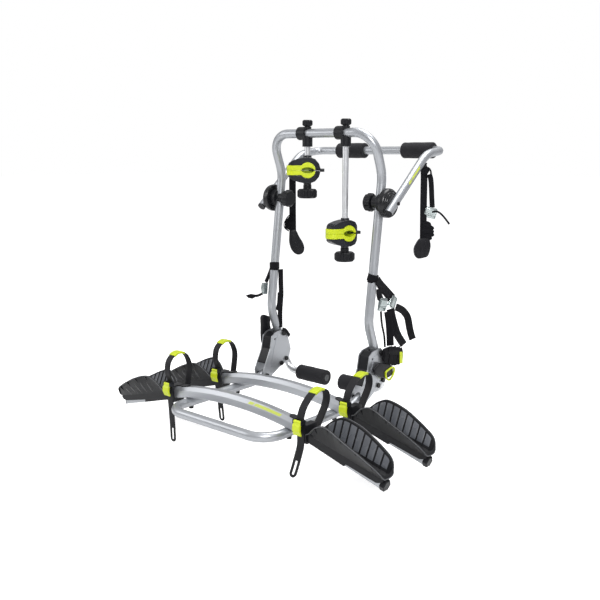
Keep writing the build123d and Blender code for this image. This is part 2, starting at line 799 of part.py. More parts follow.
def wall_at(x, z, inset=0.0):
    """Half width of a flared wall's outer face at a place and height."""
    half, top = rim_at(x)
    floor_z = line_z(tray_floor, x)
    lean = (half - tray_lip_width - base_at(x)) / (top - floor_z)
    return base_at(x) + lean * (z - floor_z) - inset


def base_at(x):
    """Half width of a tray at its floor."""
    return min(tray_base_half, rim_at(x)[0] - tray_lip_width)


def tray_section(x, points):
    """A symmetric face across X; the points run up the +Y side."""
    other = [(-y, z) for y, z in reversed(points)]
    return Plane.YZ.offset(x) * Polygon(*points, *other, align=None)


def tray_outer():
    """The whole outside of a tray, from skirt to rim."""
    faces = []
    for x, _, top in tray_stations:
        floor_z = line_z(tray_floor, x)
        points = [(base_at(x), line_z(tray_skirt, x)), (base_at(x), floor_z)]
        faces.append(tray_section(x, points + [(wall_at(x, top), top)]))
    return loft(faces, ruled=True)


def tray_room():
    """The room inside a tray, run past the rim."""
    faces = []
    over = 12.0
    for x, _, top in tray_stations:
        place = min(x, tray_stations[-1][0] - tray_wall)
        floor_z = line_z(tray_floor, x)
        low = (wall_at(x, floor_z, tray_wall), floor_z)
        high = (wall_at(x, top + over, tray_wall * 1.1), top + over)
        faces.append(tray_section(place if x > tray_stations[0][0] else x - 1, [low, high]))
    return loft(faces, ruled=True)


def tray_lip(side):
    """The outward lip along one wall's rim; side is -1 or 1."""
    faces = []
    for x, half, top in tray_stations:
        inner = wall_at(x, top) - 0.6 * tray_wall
        low = top - tray_lip_thickness
        corners = [(inner, low), (half, low), (half, top), (inner, top)]
        corners = [(side * y, z) for y, z in corners]
        faces.append(Plane.YZ.offset(x) * Polygon(*(corners if side > 0 else corners[::-1]), align=None))
    return loft(faces, ruled=True)


def make_tray():
    """A wheel tray: two flared walls, a floor, ribs, gussets and a saddle on the rail, right side."""
    reach = 200.0
    last = tray_stations[-1][0] + 20
    under = [
        (saddle_end_x, line_z(tray_floor, saddle_end_x) - tray_wall),
        (last, line_z(tray_floor, last) - tray_wall - 1), (last, -reach), (saddle_end_x, -reach),
    ]
    tray = tray_outer() - extrude(Plane.XZ * Polygon(*under, align=None), amount=tray_cap_room, both=True)
    tray += [tray_lip(-1), tray_lip(1)]
    tray += tray_gussets()
    tray -= tray_room()
    tray += tray_ribs()
    tray += tray_saddle()
    return tray - rail_bar(0, tray_stations[0][0] - 20, saddle_end_x + 20, slide_clearance)


def tray_ribs():
    """Ribs that stand up on the inside of both walls."""
    ribs = []
    for x in spread(tray_rib_first_x, tray_rib_last_x, tray_rib_count):
        floor_z = line_z(tray_floor, x)
        top = rim_at(x)[1] - tray_lip_thickness
        deep = tray_wall + tray_rib_height
        root = tray_wall * 0.6
        corners = [
            (wall_at(x, floor_z, root), floor_z - 1), (wall_at(x, floor_z, deep), floor_z - 1),
            (wall_at(x, top, deep), top), (wall_at(x, top, root), top),
        ]
        for side in (-1, 1):
            outline = [(side * y, z) for y, z in corners]
            ribs.append(side_slab(outline, x - tray_rib_thickness / 2, x + tray_rib_thickness / 2))
    return ribs


def tray_gussets():
    """Thin gussets under the lip, outside both walls."""
    gussets = []
    for x in spread(gusset_first_x, gusset_last_x, gusset_count):
        half, top = rim_at(x)
        low = top - gusset_depth
        high = top - tray_lip_thickness / 2
        for side in (-1, 1):
            corners = [(wall_at(x, high, 1.0), high), (half - 0.8, high), (wall_at(x, low, 0.5), low)]
            outline = [(side * y, z) for y, z in corners]
            gussets.append(side_slab(outline, x - gusset_thickness / 2, x + gusset_thickness / 2))
    return gussets


def tray_saddle():
    """Guide under the floor that straddles the rail."""
    first = tray_stations[0][0] + 0.5
    shape = [
        (first, line_z(tray_floor, first) - 1), (saddle_end_x, line_z(tray_floor, saddle_end_x) - 1),
        (saddle_end_x, rail_height_at(saddle_end_x) + tray_rail_height / 2 - saddle_drop),
        (first, rail_height_at(first) + tray_rail_height / 2 - saddle_drop),
    ]
    return extrude(Plane.XZ * Polygon(*shape, align=None), amount=saddle_side, both=True)


# Derived places of the upper arm
arm_run = math.hypot(elbow_y - hub_y, elbow_z - hub_z)
arm_direction = ((elbow_y - hub_y) / arm_run, (elbow_z - hub_z) / arm_run)
arm_end_y = hub_y - arm_direction[0] * arm_tail
arm_end_z = hub_z - arm_direction[1] * arm_tail


def make_upper_arm():
    """The U-shaped tube of the upper arm."""
    side = [(arm_end_y, arm_end_z), (elbow_y, elbow_z), (crossbar_y, crossbar_z)]
    points = [(-arm_x, y, z) for y, z in side] + [(arm_x, y, z) for y, z in reversed(side)]
    return bent_tube(points, [elbow_bend, crossbar_bend, crossbar_bend, elbow_bend], arm_tube, arm_wall)


def arm_line_rod(x, radius, length):
    """A round bar along the arm's lower run, centred on the hub."""
    start = (x, hub_y - arm_direction[0] * length / 2, hub_z - arm_direction[1] * length / 2)
    plane = Plane(origin=start, z_dir=(0, arm_direction[0], arm_direction[1]))
    return extrude(plane * Circle(radius), amount=length)


def make_arm_disc():
    """Domed disc that carries the arm, with its stub in the hub and notches round its rim, right side."""
    disc = x_rod(disc_inner_x, disc_outer_x, hub_y, hub_z, disc_radius)
    outer_rim = disc.edges().filter_by(GeomType.CIRCLE).sort_by(Axis.X)[-1]
    disc = chamfer(outer_rim, 7.0)
    for i in range(disc_notch_count):
        angle = 2 * math.pi * i / disc_notch_count
        y = hub_y + disc_radius * math.cos(angle)
        z = hub_z + disc_radius * math.sin(angle)
        disc -= x_rod(disc_inner_x - 1, disc_outer_x + 1, y, z, disc_notch_radius)
    disc -= arm_line_rod(arm_x, arm_tube / 2 + saddle_fit, 4 * disc_radius)
    return disc + x_rod(hub_bolt_end_x + hub_stub_gap, disc_inner_x + 1, hub_y, hub_z, hub_bolt_radius)


def make_hub_base():
    """Two saddles that grip the upright between them, right side."""
    low = leg_y(hub_z - 60)
    high = leg_y(hub_z + 60)
    plane = Plane(origin=(half_width, low, hub_z - 60), z_dir=(0, high - low, 120))
    tube = extrude(plane * Circle(frame_tube / 2 + saddle_fit), amount=130)
    inner = x_rod(saddle_inner_x, half_width - 2, hub_y, hub_z, saddle_inner_radius)
    outer = x_rod(half_width + 2, saddle_outer_x, hub_y, hub_z, saddle_radius)
    bolt = x_rod(saddle_inner_x - 1, saddle_outer_x + 1, hub_y, hub_z, hub_bolt_radius + hole_clearance)
    return [inner - tube - bolt, outer - tube - bolt]


def make_hub_knob():
    """The knob inside the frame with its long bolt, right side."""
    face = saddle_inner_x - 0.3
    depth = hub_bolt_end_x - face
    knob = fluted_knob(
        hub_knob_radius, hub_knob_height, hub_knob_neck, hub_knob_neck_height, hub_bolt_radius, depth, 7,
    )
    return Plane(origin=(face, hub_y, hub_z), x_dir=(0, 1, 0), z_dir=(1, 0, 0)).location * knob


def make_upper_pad(start):
    """A foam pad on the crossbar."""
    return foam_pad(start, start + upper_pad_length, crossbar_y, crossbar_z, arm_tube)


def make_arm_fittings():
    """End plugs of the arm tube and the screws that hold it to the discs, in one group."""
    end = (arm_x, arm_end_y, arm_end_z)
    plane = Plane(origin=end, z_dir=(0, arm_direction[0], arm_direction[1]))
    inner = arm_tube / 2 - arm_wall - 0.1
    plug = extrude(plane * Circle(inner), amount=plug_depth)
    flange = Pos(0, 0, -plug_thickness) * Circle(arm_tube / 2)
    plug += extrude(plane * flange, amount=plug_thickness - 0.1)
    plug += extrude(plane * (Pos(0, 0, -1) * Circle(inner)), amount=2)
    head_x = arm_x + arm_tube / 2 + 0.1
    screw = x_rod(head_x, head_x + arm_screw_height, hub_y, hub_z, arm_screw_radius)
    right = [plug, screw]
    return right + [mirrored(s) for s in right]


def make_strap_anchor(side, y):
    """Small hanger under the arm: a pad, two ears and the pin that a strap hangs on."""
    x = side * arm_x
    along = Plane(origin=(x, y, arm_z(y)), x_dir=(1, 0, 0), z_dir=(0, arm_direction[0], arm_direction[1]))
    drop = strap_drop * arm_direction[0]
    shift = strap_drop * arm_direction[1]
    pad_top = arm_tube / 2 - 2.0
    pad_bottom = drop - strap_barrel - anchor_pad_gap
    ear_reach = strap_barrel_half + 0.5 + anchor_ear
    half = anchor_pad_length / 2
    anchor = box_between((-ear_reach, pad_top, -shift - half), (ear_reach, pad_bottom, -shift + half))
    for sign in (-1, 1):
        middle = sign * (ear_reach - anchor_ear / 2)
        ear = Pos(middle, (pad_top + drop) / 2, -shift) * Box(anchor_ear, drop - pad_top, 2 * strap_barrel)
        ear += Pos(middle, drop, -shift) * Rot(0, 90, 0) * Cylinder(strap_barrel, anchor_ear)
        anchor += ear
    anchor += Pos(0, drop, -shift) * Rot(0, 90, 0) * Cylinder(strap_pin_radius, 2 * ear_reach - 1)
    anchor -= Pos(0, 0, -shift) * Cylinder(arm_tube / 2 + anchor_fit, 2 * anchor_pad_length)
    return along.location * anchor


def make_clamp(x):
    """Band clamp on the top bar, with the knob's boss and the rod's socket beside its ring."""
    ring_end = x - clamp_offset + clamp_width / 2
    clamp = x_rod(ring_end - clamp_width, ring_end, top_y, top_z, clamp_radius)
    boss_middle = (clamp_boss_top + clamp_saddle_start) / 2
    socket_middle = (clamp_socket_bottom + clamp_saddle_start) / 2
    boss = Cylinder(clamp_boss_radius, clamp_boss_top - clamp_saddle_start)
    socket = Cylinder(clamp_socket_radius, clamp_socket_bottom - clamp_saddle_start)
    clamp += Pos(x, top_y, top_z + boss_middle) * boss
    clamp += Pos(x, top_y, top_z - socket_middle) * socket
    clamp -= x_rod(x - 2 * clamp_width, x + clamp_width, top_y, top_z, frame_tube / 2 + clamp_fit)
    rod_top = top_z - rod_top_below_bar
    clamp -= Pos(x, top_y, rod_top + 0.2 - 30) * Cylinder(rod_radius + 0.1, 60)
    hole_z = top_z + clamp_boss_top - clamp_screw_depth / 2
    screw = Cylinder(clamp_screw_radius + hole_clearance, clamp_screw_depth + 1)
    return clamp - Pos(x, top_y, hole_z) * screw


def make_clamp_knob(x):
    """The small knob on top of a clamp."""
    knob = fluted_knob(
        clamp_knob_radius, clamp_knob_height, clamp_knob_neck, clamp_knob_neck_height,
        clamp_screw_radius, clamp_screw_depth, 8,
    )
    return Pos(x, top_y, top_z + clamp_boss_top + 0.3) * Rot(180, 0, 0) * knob


def make_rod(x, drop):
    """The bright rod between a clamp and its claw."""
    high = top_z - rod_top_below_bar
    low = top_z - drop + rod_seat + 0.2
    return Pos(x, top_y, (high + low) / 2) * Cylinder(rod_radius, high - low)


def claw_place(x, drop, yaw):
    """Where a claw's middle lies and how it is turned about its rod."""
    return Location((x, top_y, top_z - drop), (0, 0, yaw))


def claw_slab(shape, thickness):
    """An outline in the claw's own X and Z, given its thickness about the middle."""
    return extrude(Plane.XZ * shape, amount=thickness / 2, both=True)


def liner_shape(grow):
    """Outline of the soft liner: a block behind a ring."""
    h = liner_half_height + grow
    block = [(liner_start - 5, -h), (ring_x, -h), (ring_x, h), (liner_start - 5, h)]
    return Polygon(*block, align=None) + Pos(ring_x, 0) * Circle(ring_radius + grow)


def upper_half(gap_left, gap_right):
    """Room above the parting line, which is wider on the open side."""
    step = [(-claw_room, gap_left), (ring_x, gap_left), (ring_x, gap_right), (claw_room, gap_right)]
    return Polygon(*step, (claw_room, claw_room), (-claw_room, claw_room), align=None)


def plan_round(start, end, thickness, corner):
    """Upright room with rounded corners, which rounds a claw's ends."""
    plan = Pos((start + end) / 2, 0) * RectangleRounded(end - start, thickness, corner)
    return extrude(plan, amount=100, both=True)


def shell_half():
    """Outline of the shell above the parting line, as a slab with rounded ends."""
    start, end = claw_outline[0][0], claw_outline[-1][0]
    body = Polygon(*claw_outline, (end, slit_half), (start, slit_half), align=None)
    return claw_slab(body, claw_thickness) & plan_round(start, end, claw_thickness, claw_end_round)


def make_claw_shell(place):
    """Upper half of the claw's shell with the rod's socket and the tongue."""
    socket_low = ring_radius + 4
    shell = shell_half()
    socket_height = claw_socket_top - socket_low
    shell += Pos(0, 0, socket_low + socket_height / 2) * Cylinder(claw_socket_radius, socket_height)
    shell -= claw_slab(liner_shape(0.2), claw_thickness + 20)
    shell -= Pos(0, 0, rod_seat + 50) * Cylinder(rod_radius + pin_clearance, 100)
    side = tongue_width / 2
    half = tongue_thickness / 2
    tongue = box_between((tongue_start, -side, -half), (tongue_end, side, half))
    tip_end = tongue_end + tongue_tip_length
    tip = box_between((tongue_end - 1, -side, -tongue_tip / 2), (tip_end, side, tongue_tip / 2))
    neck = box_between((ring_x + ring_radius + 2, -side, 0), (tongue_end - 4, side, slit_half + 2))
    return place * (shell + tongue + tip + neck)


def make_claw_liner(place, half):
    """Upper or lower half of the soft liner round the eye; half is 1 or -1."""
    shape = liner_shape(0) - Pos(ring_x, 0) * Ellipse(eye_half_length, eye_half_height)
    shape = shape & Polygon((liner_start, -60), (60, -60), (60, 60), (liner_start, 60), align=None)
    shape = shape & upper_half(jaw_gap / 2, slit_half)
    thickness = claw_thickness + 2 * liner_proud
    liner = claw_slab(shape, thickness)
    liner = liner & plan_round(liner_start, -liner_start, thickness, claw_end_round + liner_proud)
    if half < 0:
        liner = mirror(liner, about=Plane.XY)
    return place * liner


def make_claw_jaw(place):
    """Lower half of the claw's shell, with the neck that the clamping screw runs in."""
    jaw = mirror(shell_half(), about=Plane.XY)
    neck_top = ring_radius + 4
    neck_height = claw_neck_bottom - neck_top
    jaw += Pos(0, 0, -neck_top - neck_height / 2) * Cylinder(claw_neck_radius, neck_height)
    jaw -= claw_slab(liner_shape(0.2), claw_thickness + 20)
    tip_room = box_between((tongue_end - 1.5, -30, -tongue_tip / 2 - 1), (claw_room, 30, 10))
    screw = Pos(0, 0, -claw_neck_bottom + claw_screw_depth / 2) * Cylinder(
        claw_screw_radius + pin_clearance, claw_screw_depth + 1,
    )
    return place * (jaw - tip_room - screw)


def make_claw_knob(place):
    """The large knob under a claw, with its screw."""
    knob = fluted_knob(
        claw_knob_radius, claw_knob_height, claw_knob_neck, claw_knob_neck_height,
        claw_screw_radius, claw_screw_depth, 9,
    )
    return place * Pos(0, 0, -claw_neck_bottom - 0.3) * knob


def arm_z(y):
    """Height of the upper arm's centre line on its first run."""
    return hub_z + (y - hub_y) * arm_direction[1] / arm_direction[0]


def facing_plane(x, y, z):
    """An upright plane turned towards the camera; its own axes run sideways and up."""
    turn = math.radians(facing_angle)
    across = (math.cos(turn), math.sin(turn), 0)
    return Plane(origin=(x, y, z), x_dir=across, z_dir=(math.sin(turn), -math.cos(turn), 0))


def facing_slab(plane, outline, thickness, corner=2.0):
    """An outline in such a plane, given its thickness."""
    shape = Polygon(*outline, align=None)
    shape = fillet(shape.vertices(), corner)
    return extrude(plane * shape, amount=thickness / 2, both=True)


def strap_pivot(y):
    """Y and Z of the axis that an upper strap hangs from."""
    return y, arm_z(y) - strap_drop


def make_upper_strap(side, y, run, extras, hook):
    """A strap that hangs under the arm and ends in its coated hook; side is -1 or 1."""
    pivot_y, pivot_z = strap_pivot(y)
    middle = side * arm_x
    plane = facing_plane(middle, pivot_y, pivot_z)
    strap = x_rod(middle - strap_barrel_half, middle + strap_barrel_half, pivot_y, pivot_z, strap_barrel)
    strap += facing_slab(plane, run, 2 * web_thickness, 1.0)
    for outline in extras:
        strap += facing_slab(plane, outline, 3 * web_thickness)
    strap += facing_slab(plane, hook, hook_thickness, 5.0)
    hole = strap_pin_radius + pin_clearance
    reach = 2 * strap_barrel_half
    return strap - x_rod(middle - reach, middle + reach, pivot_y, pivot_z, hole)


def thin_run(plane, points, thickness, width, bend):
    """A run of webbing seen edge on, in a plane turned towards the camera."""
    path = plane * FilletPolyline(*points, radius=bend)
    start = Plane(origin=path @ 0, x_dir=plane.z_dir, z_dir=path % 0)
    return sweep(start * Rectangle(width, thickness), path=path)


def make_upper_strap_right():
    """The right strap, with its second run and the loose thin end."""
    knots = [top_knot_right, knot_right]
    strap = make_upper_strap(1, upper_strap_right_y, strap_run_right, knots, hook_right)
    plane = facing_plane(arm_x, *strap_pivot(upper_strap_right_y))
    second = thin_run(plane, second_run_right, 12.0, web_thickness, 40)
    loose = thin_run(plane, thin_tail_right, 2.0, web_width * 0.5, 12)
    return [strap + second, loose]


def make_upper_cam():
    """Cam buckle at the end of the right strap's second run."""
    plane = facing_plane(arm_x, *strap_pivot(upper_strap_right_y))
    r, z = cam_right_upper
    outline = [(r - 16, z - 12), (r + 16, z - 18), (r + 16, z + 14), (r - 14, z + 19)]
    return facing_slab(plane, outline, cam_thickness, 3.0)


def upright_ring(z, side):
    """Webbing wound round an upright; side is -1 or 1."""
    low = leg_y(z - web_width / 2)
    high = leg_y(z + web_width / 2)
    plane = Plane(origin=(side * half_width, low, z - web_width / 2), z_dir=(0, high - low, web_width))
    ring = Circle(frame_tube / 2 + web_thickness) - Circle(frame_tube / 2 + saddle_fit)
    return extrude(plane * ring, amount=web_width)


def web_slab(side, outline, inner_x, thickness=web_thickness, corner=1.5):
    """A flat run of webbing beside an upright; side is -1 or 1."""
    return side_slab(outline, side * inner_x, side * (inner_x + thickness), corner)


def cam_rooms(side, outlines, inner_x):
    """Room round the cam buckles, which the straps stop at."""
    rooms = []
    for outline in outlines:
        grown = offset(Polygon(*outline, align=None), amount=0.3)
        plane = Plane.YZ.offset(min(side * (inner_x - 0.3), side * (inner_x + cam_thickness + 0.3)))
        rooms.append(extrude(plane * grown, amount=cam_thickness + 0.6, dir=(1, 0, 0)))
    return rooms


def make_side_strap_right():
    """Straps from the right upright to its cam buckles and on to the car's hooks."""
    strap = upright_ring(side_ring_z, 1)
    strap += web_slab(1, diagonal_right, web_outer_x)
    strap += web_slab(1, second_right, web_outer_x)
    pieces = [strap, web_slab(1, tail_right_side, web_outer_x), web_slab(1, wide_right, web_inner_x)]
    pieces.append(web_slab(1, thin_right, web_outer_x, 2.0))
    for room in cam_rooms(1, [cam_first, cam_second], cam_inner_x()):
        pieces = [piece - room for piece in pieces]
    return as_compound(pieces)


def cam_inner_x():
    """Inner face of the cam buckles beside the uprights."""
    return web_outer_x + web_thickness / 2 - cam_thickness / 2 + 3


def make_side_strap_left():
    """Straps from the left upright, one before the tube and one behind it."""
    strap = upright_ring(side_ring_z, -1)
    strap += web_slab(-1, run_left, web_outer_x)
    behind_x = half_width - frame_tube / 2 - web_thickness + 0.2
    strap += web_slab(-1, behind_left, behind_x, web_thickness - 0.4)
    end_x = plate_inner_x - plate_thickness - panel_height - bolt_head_height - strap_seat
    pieces = [strap, web_slab(-1, tail_left_side, web_outer_x)]
    pieces.append(web_slab(-1, end_left, end_x - web_thickness))
    for room in cam_rooms(-1, [cam_left], cam_inner_x()):
        pieces = [piece - room for piece in pieces]
    return as_compound(pieces)


def make_side_cams():
    """The pressed cam buckles beside the uprights, in one group."""
    cams = []
    for side, outline in ((1, cam_first), (1, cam_second), (-1, cam_left)):
        body = web_slab(side, outline, cam_inner_x(), cam_thickness, 3.0)
        cams.append(body)
    return cams


def bolt_end(face_x):
    """How far a frame bolt's head stands out beyond a plate's outer face."""
    return face_x + plate_thickness + panel_height + bolt_head_height


def make_lower_strap_right():
    """Folded strap and hook beside the right plates, resting on a bolt's head."""
    inner_x = bolt_end(plate_outer_x) + strap_seat
    bundle = side_slab(bundle_right, inner_x, inner_x + bundle_thickness, 4.0)
    return bundle + side_slab(hook_lower_right, inner_x, inner_x + bundle_thickness, 5.0)


def make_lower_strap_left():
    """Folded strap and hook before the left plates, resting on the outer plate's face."""
    inner_x = bolt_end(plate_outer_x) - bolt_head_height + strap_seat
    return side_slab(bundle_left, -inner_x - bundle_thickness, -inner_x, 4.0)


def as_compound(solids):
    """One group of separate solids."""
    return Compound(children=list(solids))


def both_sides(right_solids):
    """Right-hand solids together with their mirror images."""
    return as_compound(list(right_solids) + [mirrored(s) for s in right_solids])


def build_frame_parts():
    """Everything that is fixed to the car."""
    inner = (plate_inner_x - plate_thickness, plate_inner_x)
    outer = (plate_outer_x, plate_outer_x + plate_thickness)
    return {
        "upright_frame": make_upright_frame(),
        "side_plates_inner": both_sides([make_side_plate(*inner, -1)]),
        "side_plates_outer": both_sides([make_side_plate(*outer, 1)]),
        "bracket_spacers": both_sides([make_bracket_spacer()]),
        "frame_bolts": as_compound(make_frame_bolts()),
        "hub_bases": both_sides(make_hub_base()),
        "hub_knob_left": mirrored(make_hub_knob()),
        "hub_knob_right": make_hub_knob(),
        "lower_arm_left": mirrored(make_lower_arm(lower_pad_left_start)),
        "lower_arm_right": make_lower_arm(lower_pad_right_start),
        "lower_pad_left": mirrored(make_lower_pad(lower_pad_left_start)),
        "lower_pad_right": make_lower_pad(lower_pad_right_start),
    }


def build_arm_parts():
    """The upper arm and what turns with it."""
    return {
        "upper_arm": make_upper_arm(),
        "arm_discs": both_sides([make_arm_disc()]),
        "arm_fittings": as_compound(make_arm_fittings()),
        "upper_pad_left": make_upper_pad(upper_pad_left_start),
        "upper_pad_right": make_upper_pad(upper_pad_right_start),
        "strap_anchors": as_compound([
            make_strap_anchor(1, upper_strap_right_y), make_strap_anchor(-1, upper_strap_left_y),
        ]),
        "upper_strap_left": make_upper_strap(
            -1, upper_strap_left_y, strap_run_left, [strap_fold_left], hook_left,
        ),
        "upper_strap_right": as_compound(make_upper_strap_right()),
        "upper_cam_buckle": make_upper_cam(),
    }


def build_platform_parts():
    """The platform and its wheel trays, straps and buckles."""
    places = tray_y_places()
    parts = {
        "platform_loop": make_platform_loop(),
        "cross_tube_front": make_cross_tube(cross_front_y),
        "cross_tube_rear": make_cross_tube(cross_rear_y),
        "platform_bolts": as_compound(make_platform_bolts()),
        "tray_rails": both_sides([make_tray_rail(y) for y in places]),
        "rail_caps": as_compound(
            [make_rail_cap(y) for y in places] + [mirrored(make_rail_end(y)) for y in places],
        ),
        "end_brackets": both_sides([make_end_bracket(y) for y in places]),
        "ratchet_buckles": both_sides([make_ratchet_buckle(y) for y in places]),
    }
    tray = make_tray()
    tails = {"front": (tail_front_left, tail_front_right), "rear": (tail_rear_left, tail_rear_right)}
    for name, y in zip(("front", "rear"), places):
        parts[f"wheel_straps_{name}"] = as_compound([
            make_wheel_strap(-1, y, tails[name][0]), make_wheel_strap(1, y, tails[name][1]),
        ])
        parts[f"tray_{name}_right"] = Pos(0, y, 0) * tray
        parts[f"tray_{name}_left"] = mirrored(Pos(0, y, 0) * tray)
        for side_name, side in (("left", -1), ("right", 1)):
            parts[f"ratchet_lever_{name}_{side_name}"] = make_ratchet_lever(side, y)
    return parts


def build_holder_parts():
    """The two frame holders on the top bar."""
    parts = {}
    holders = (
        ("left", holder_left_x, claw_left_drop, claw_left_yaw),
        ("right", holder_right_x, claw_right_drop, claw_right_yaw),
    )
    for name, x, drop, yaw in holders:
        place = claw_place(x, drop, yaw)
        parts[f"clamp_{name}"] = make_clamp(x)
        parts[f"clamp_knob_{name}"] = make_clamp_knob(x)
        parts[f"rod_{name}"] = make_rod(x, drop)
        parts[f"claw_shell_{name}"] = make_claw_shell(place)
        parts[f"claw_liner_upper_{name}"] = make_claw_liner(place, 1)
        parts[f"claw_jaw_{name}"] = make_claw_jaw(place)
        parts[f"claw_liner_lower_{name}"] = make_claw_liner(place, -1)
        parts[f"claw_knob_{name}"] = make_claw_knob(place)
    return parts


def build_web_parts():
    """Straps that hang on the uprights."""
    return {
        "side_strap_left": make_side_strap_left(),
        "side_strap_right": make_side_strap_right(),
        "side_cam_buckles": as_compound(make_side_cams()),
        "lower_strap_left": make_lower_strap_left(),
        "lower_strap_right": make_lower_strap_right(),
    }


os.makedirs("parts", exist_ok=True)
all_parts = {}
groups = (build_frame_parts, build_arm_parts, build_platform_parts, build_holder_parts, build_web_parts)
for group in groups:
    all_parts.update(group())
for node, solid in all_parts.items():
    export_step(solid, f"parts/{node}.step")
print(len(all_parts), "nodes written")
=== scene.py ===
import json
import math
import bpy
from mathutils import Matrix, Vector


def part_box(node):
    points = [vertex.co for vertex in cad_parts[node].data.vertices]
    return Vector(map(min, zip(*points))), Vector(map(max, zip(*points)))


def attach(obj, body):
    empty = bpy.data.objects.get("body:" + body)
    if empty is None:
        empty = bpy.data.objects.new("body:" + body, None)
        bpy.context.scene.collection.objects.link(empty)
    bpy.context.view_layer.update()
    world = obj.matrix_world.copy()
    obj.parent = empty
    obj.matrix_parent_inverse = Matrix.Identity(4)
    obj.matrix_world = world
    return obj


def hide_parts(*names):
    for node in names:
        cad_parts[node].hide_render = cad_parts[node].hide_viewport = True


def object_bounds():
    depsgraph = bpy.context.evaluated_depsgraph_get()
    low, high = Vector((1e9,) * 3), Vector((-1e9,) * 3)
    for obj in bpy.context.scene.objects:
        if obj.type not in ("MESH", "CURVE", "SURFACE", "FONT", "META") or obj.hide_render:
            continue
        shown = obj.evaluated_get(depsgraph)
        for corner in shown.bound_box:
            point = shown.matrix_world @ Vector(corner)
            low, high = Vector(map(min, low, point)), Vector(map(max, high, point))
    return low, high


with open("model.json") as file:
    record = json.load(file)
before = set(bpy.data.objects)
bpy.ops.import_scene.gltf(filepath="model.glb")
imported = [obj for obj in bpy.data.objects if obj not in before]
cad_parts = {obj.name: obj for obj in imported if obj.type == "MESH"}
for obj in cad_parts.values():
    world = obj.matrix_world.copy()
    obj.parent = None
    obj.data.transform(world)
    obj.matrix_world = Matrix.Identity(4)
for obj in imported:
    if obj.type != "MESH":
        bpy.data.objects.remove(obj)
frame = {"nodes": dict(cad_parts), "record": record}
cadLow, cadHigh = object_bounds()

nodes = frame["nodes"]
mm = 0.001
fineSteps = 24  # steps between two points of a listed line, before it is evened out


# small helpers

def deselectAll():
    if bpy.context.object and bpy.context.object.mode != "OBJECT":
        bpy.ops.object.mode_set(mode="OBJECT")
    bpy.ops.object.select_all(action="DESELECT")


def pick(obj):
    deselectAll()
    obj.select_set(True)
    bpy.context.view_layer.objects.active = obj
    return obj


def applyPlace(obj):
    pick(obj)
    bpy.ops.object.transform_apply(location=True, rotation=True, scale=True)


def applyModifiers(obj):
    pick(obj)
    for modifier in list(obj.modifiers):
        bpy.ops.object.modifier_apply(modifier=modifier.name)


def selectEdges(obj, test):  # edges whose two ends pass the test
    pick(obj)
    bpy.ops.object.mode_set(mode="EDIT")
    bpy.ops.mesh.select_mode(type="EDGE")
    bpy.ops.mesh.select_all(action="DESELECT")
    bpy.ops.object.mode_set(mode="OBJECT")
    for edge in obj.data.edges:
        a, b = (obj.data.vertices[i].co for i in edge.vertices)
        edge.select = bool(test(a, b))
    bpy.ops.object.mode_set(mode="EDIT")


def intoEdit(obj):
    pick(obj)
    bpy.ops.object.mode_set(mode="EDIT")
    bpy.ops.mesh.select_all(action="SELECT")


def outOfEdit():
    bpy.ops.object.mode_set(mode="OBJECT")


def thicken(obj, thickness, offset=0):
    modifier = obj.modifiers.new("thickness", "SOLIDIFY")
    modifier.thickness = thickness
    modifier.offset = offset
    applyModifiers(obj)


def writeUV(obj, uvAt):  # uvAt gives a corner's place on the map from its point and the point's number
    layer = obj.data.uv_layers.get("UVMap") or obj.data.uv_layers.new(name="UVMap")
    for loop in obj.data.loops:
        k = loop.vertex_index
        layer.data[loop.index].uv = uvAt(obj.data.vertices[k].co, k)


def dress(obj, material):
    obj.data.materials.clear()
    obj.data.materials.append(material)


def finishPiece(obj, name, body, slotName, material, replaced=(), angle=35):
    obj.name = name
    obj.data.name = name
    applyPlace(obj)
    pick(obj)
    bpy.ops.object.shade_smooth_by_angle(angle=math.radians(angle))
    dress(obj, material)
    deselectAll()
    if replaced:
        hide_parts(*replaced)
    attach(obj, body)
    return obj


def joinPieces(objs):
    deselectAll()
    for obj in objs:
        obj.select_set(True)
    bpy.context.view_layer.objects.active = objs[0]
    if len(objs) > 1:
        bpy.ops.object.join()
    return bpy.context.object


def feed(tree, socket, value):  # a socket takes a number, a colour or another node's output
    if isinstance(value, bpy.types.NodeSocket):
        tree.links.new(value, socket)
    elif socket.type == "RGBA":
        socket.default_value = (*value, 1)
    else:
        socket.default_value = value


def feedAll(tree, node, values):
    for label, value in values.items():
        feed(tree, node.inputs[label], value)


def addNode(tree, kind, values=(), **settings):
    node = tree.nodes.new("ShaderNode" + kind)
    for name, setting in settings.items():
        setattr(node, name, setting)
    feedAll(tree, node, dict(values))
    return node


def mathNode(tree, operation, a, b):
    node = addNode(tree, "Math", operation=operation)
    feed(tree, node.inputs[0], a)
    feed(tree, node.inputs[1], b)
    return node.outputs[0]


def blendColors(tree, factor, a, b):
    mix = addNode(tree, "Mix", data_type="RGBA")
    feedAll(tree, mix, {"A": a, "B": b, "Factor": factor})
    return mix.outputs["Result"]


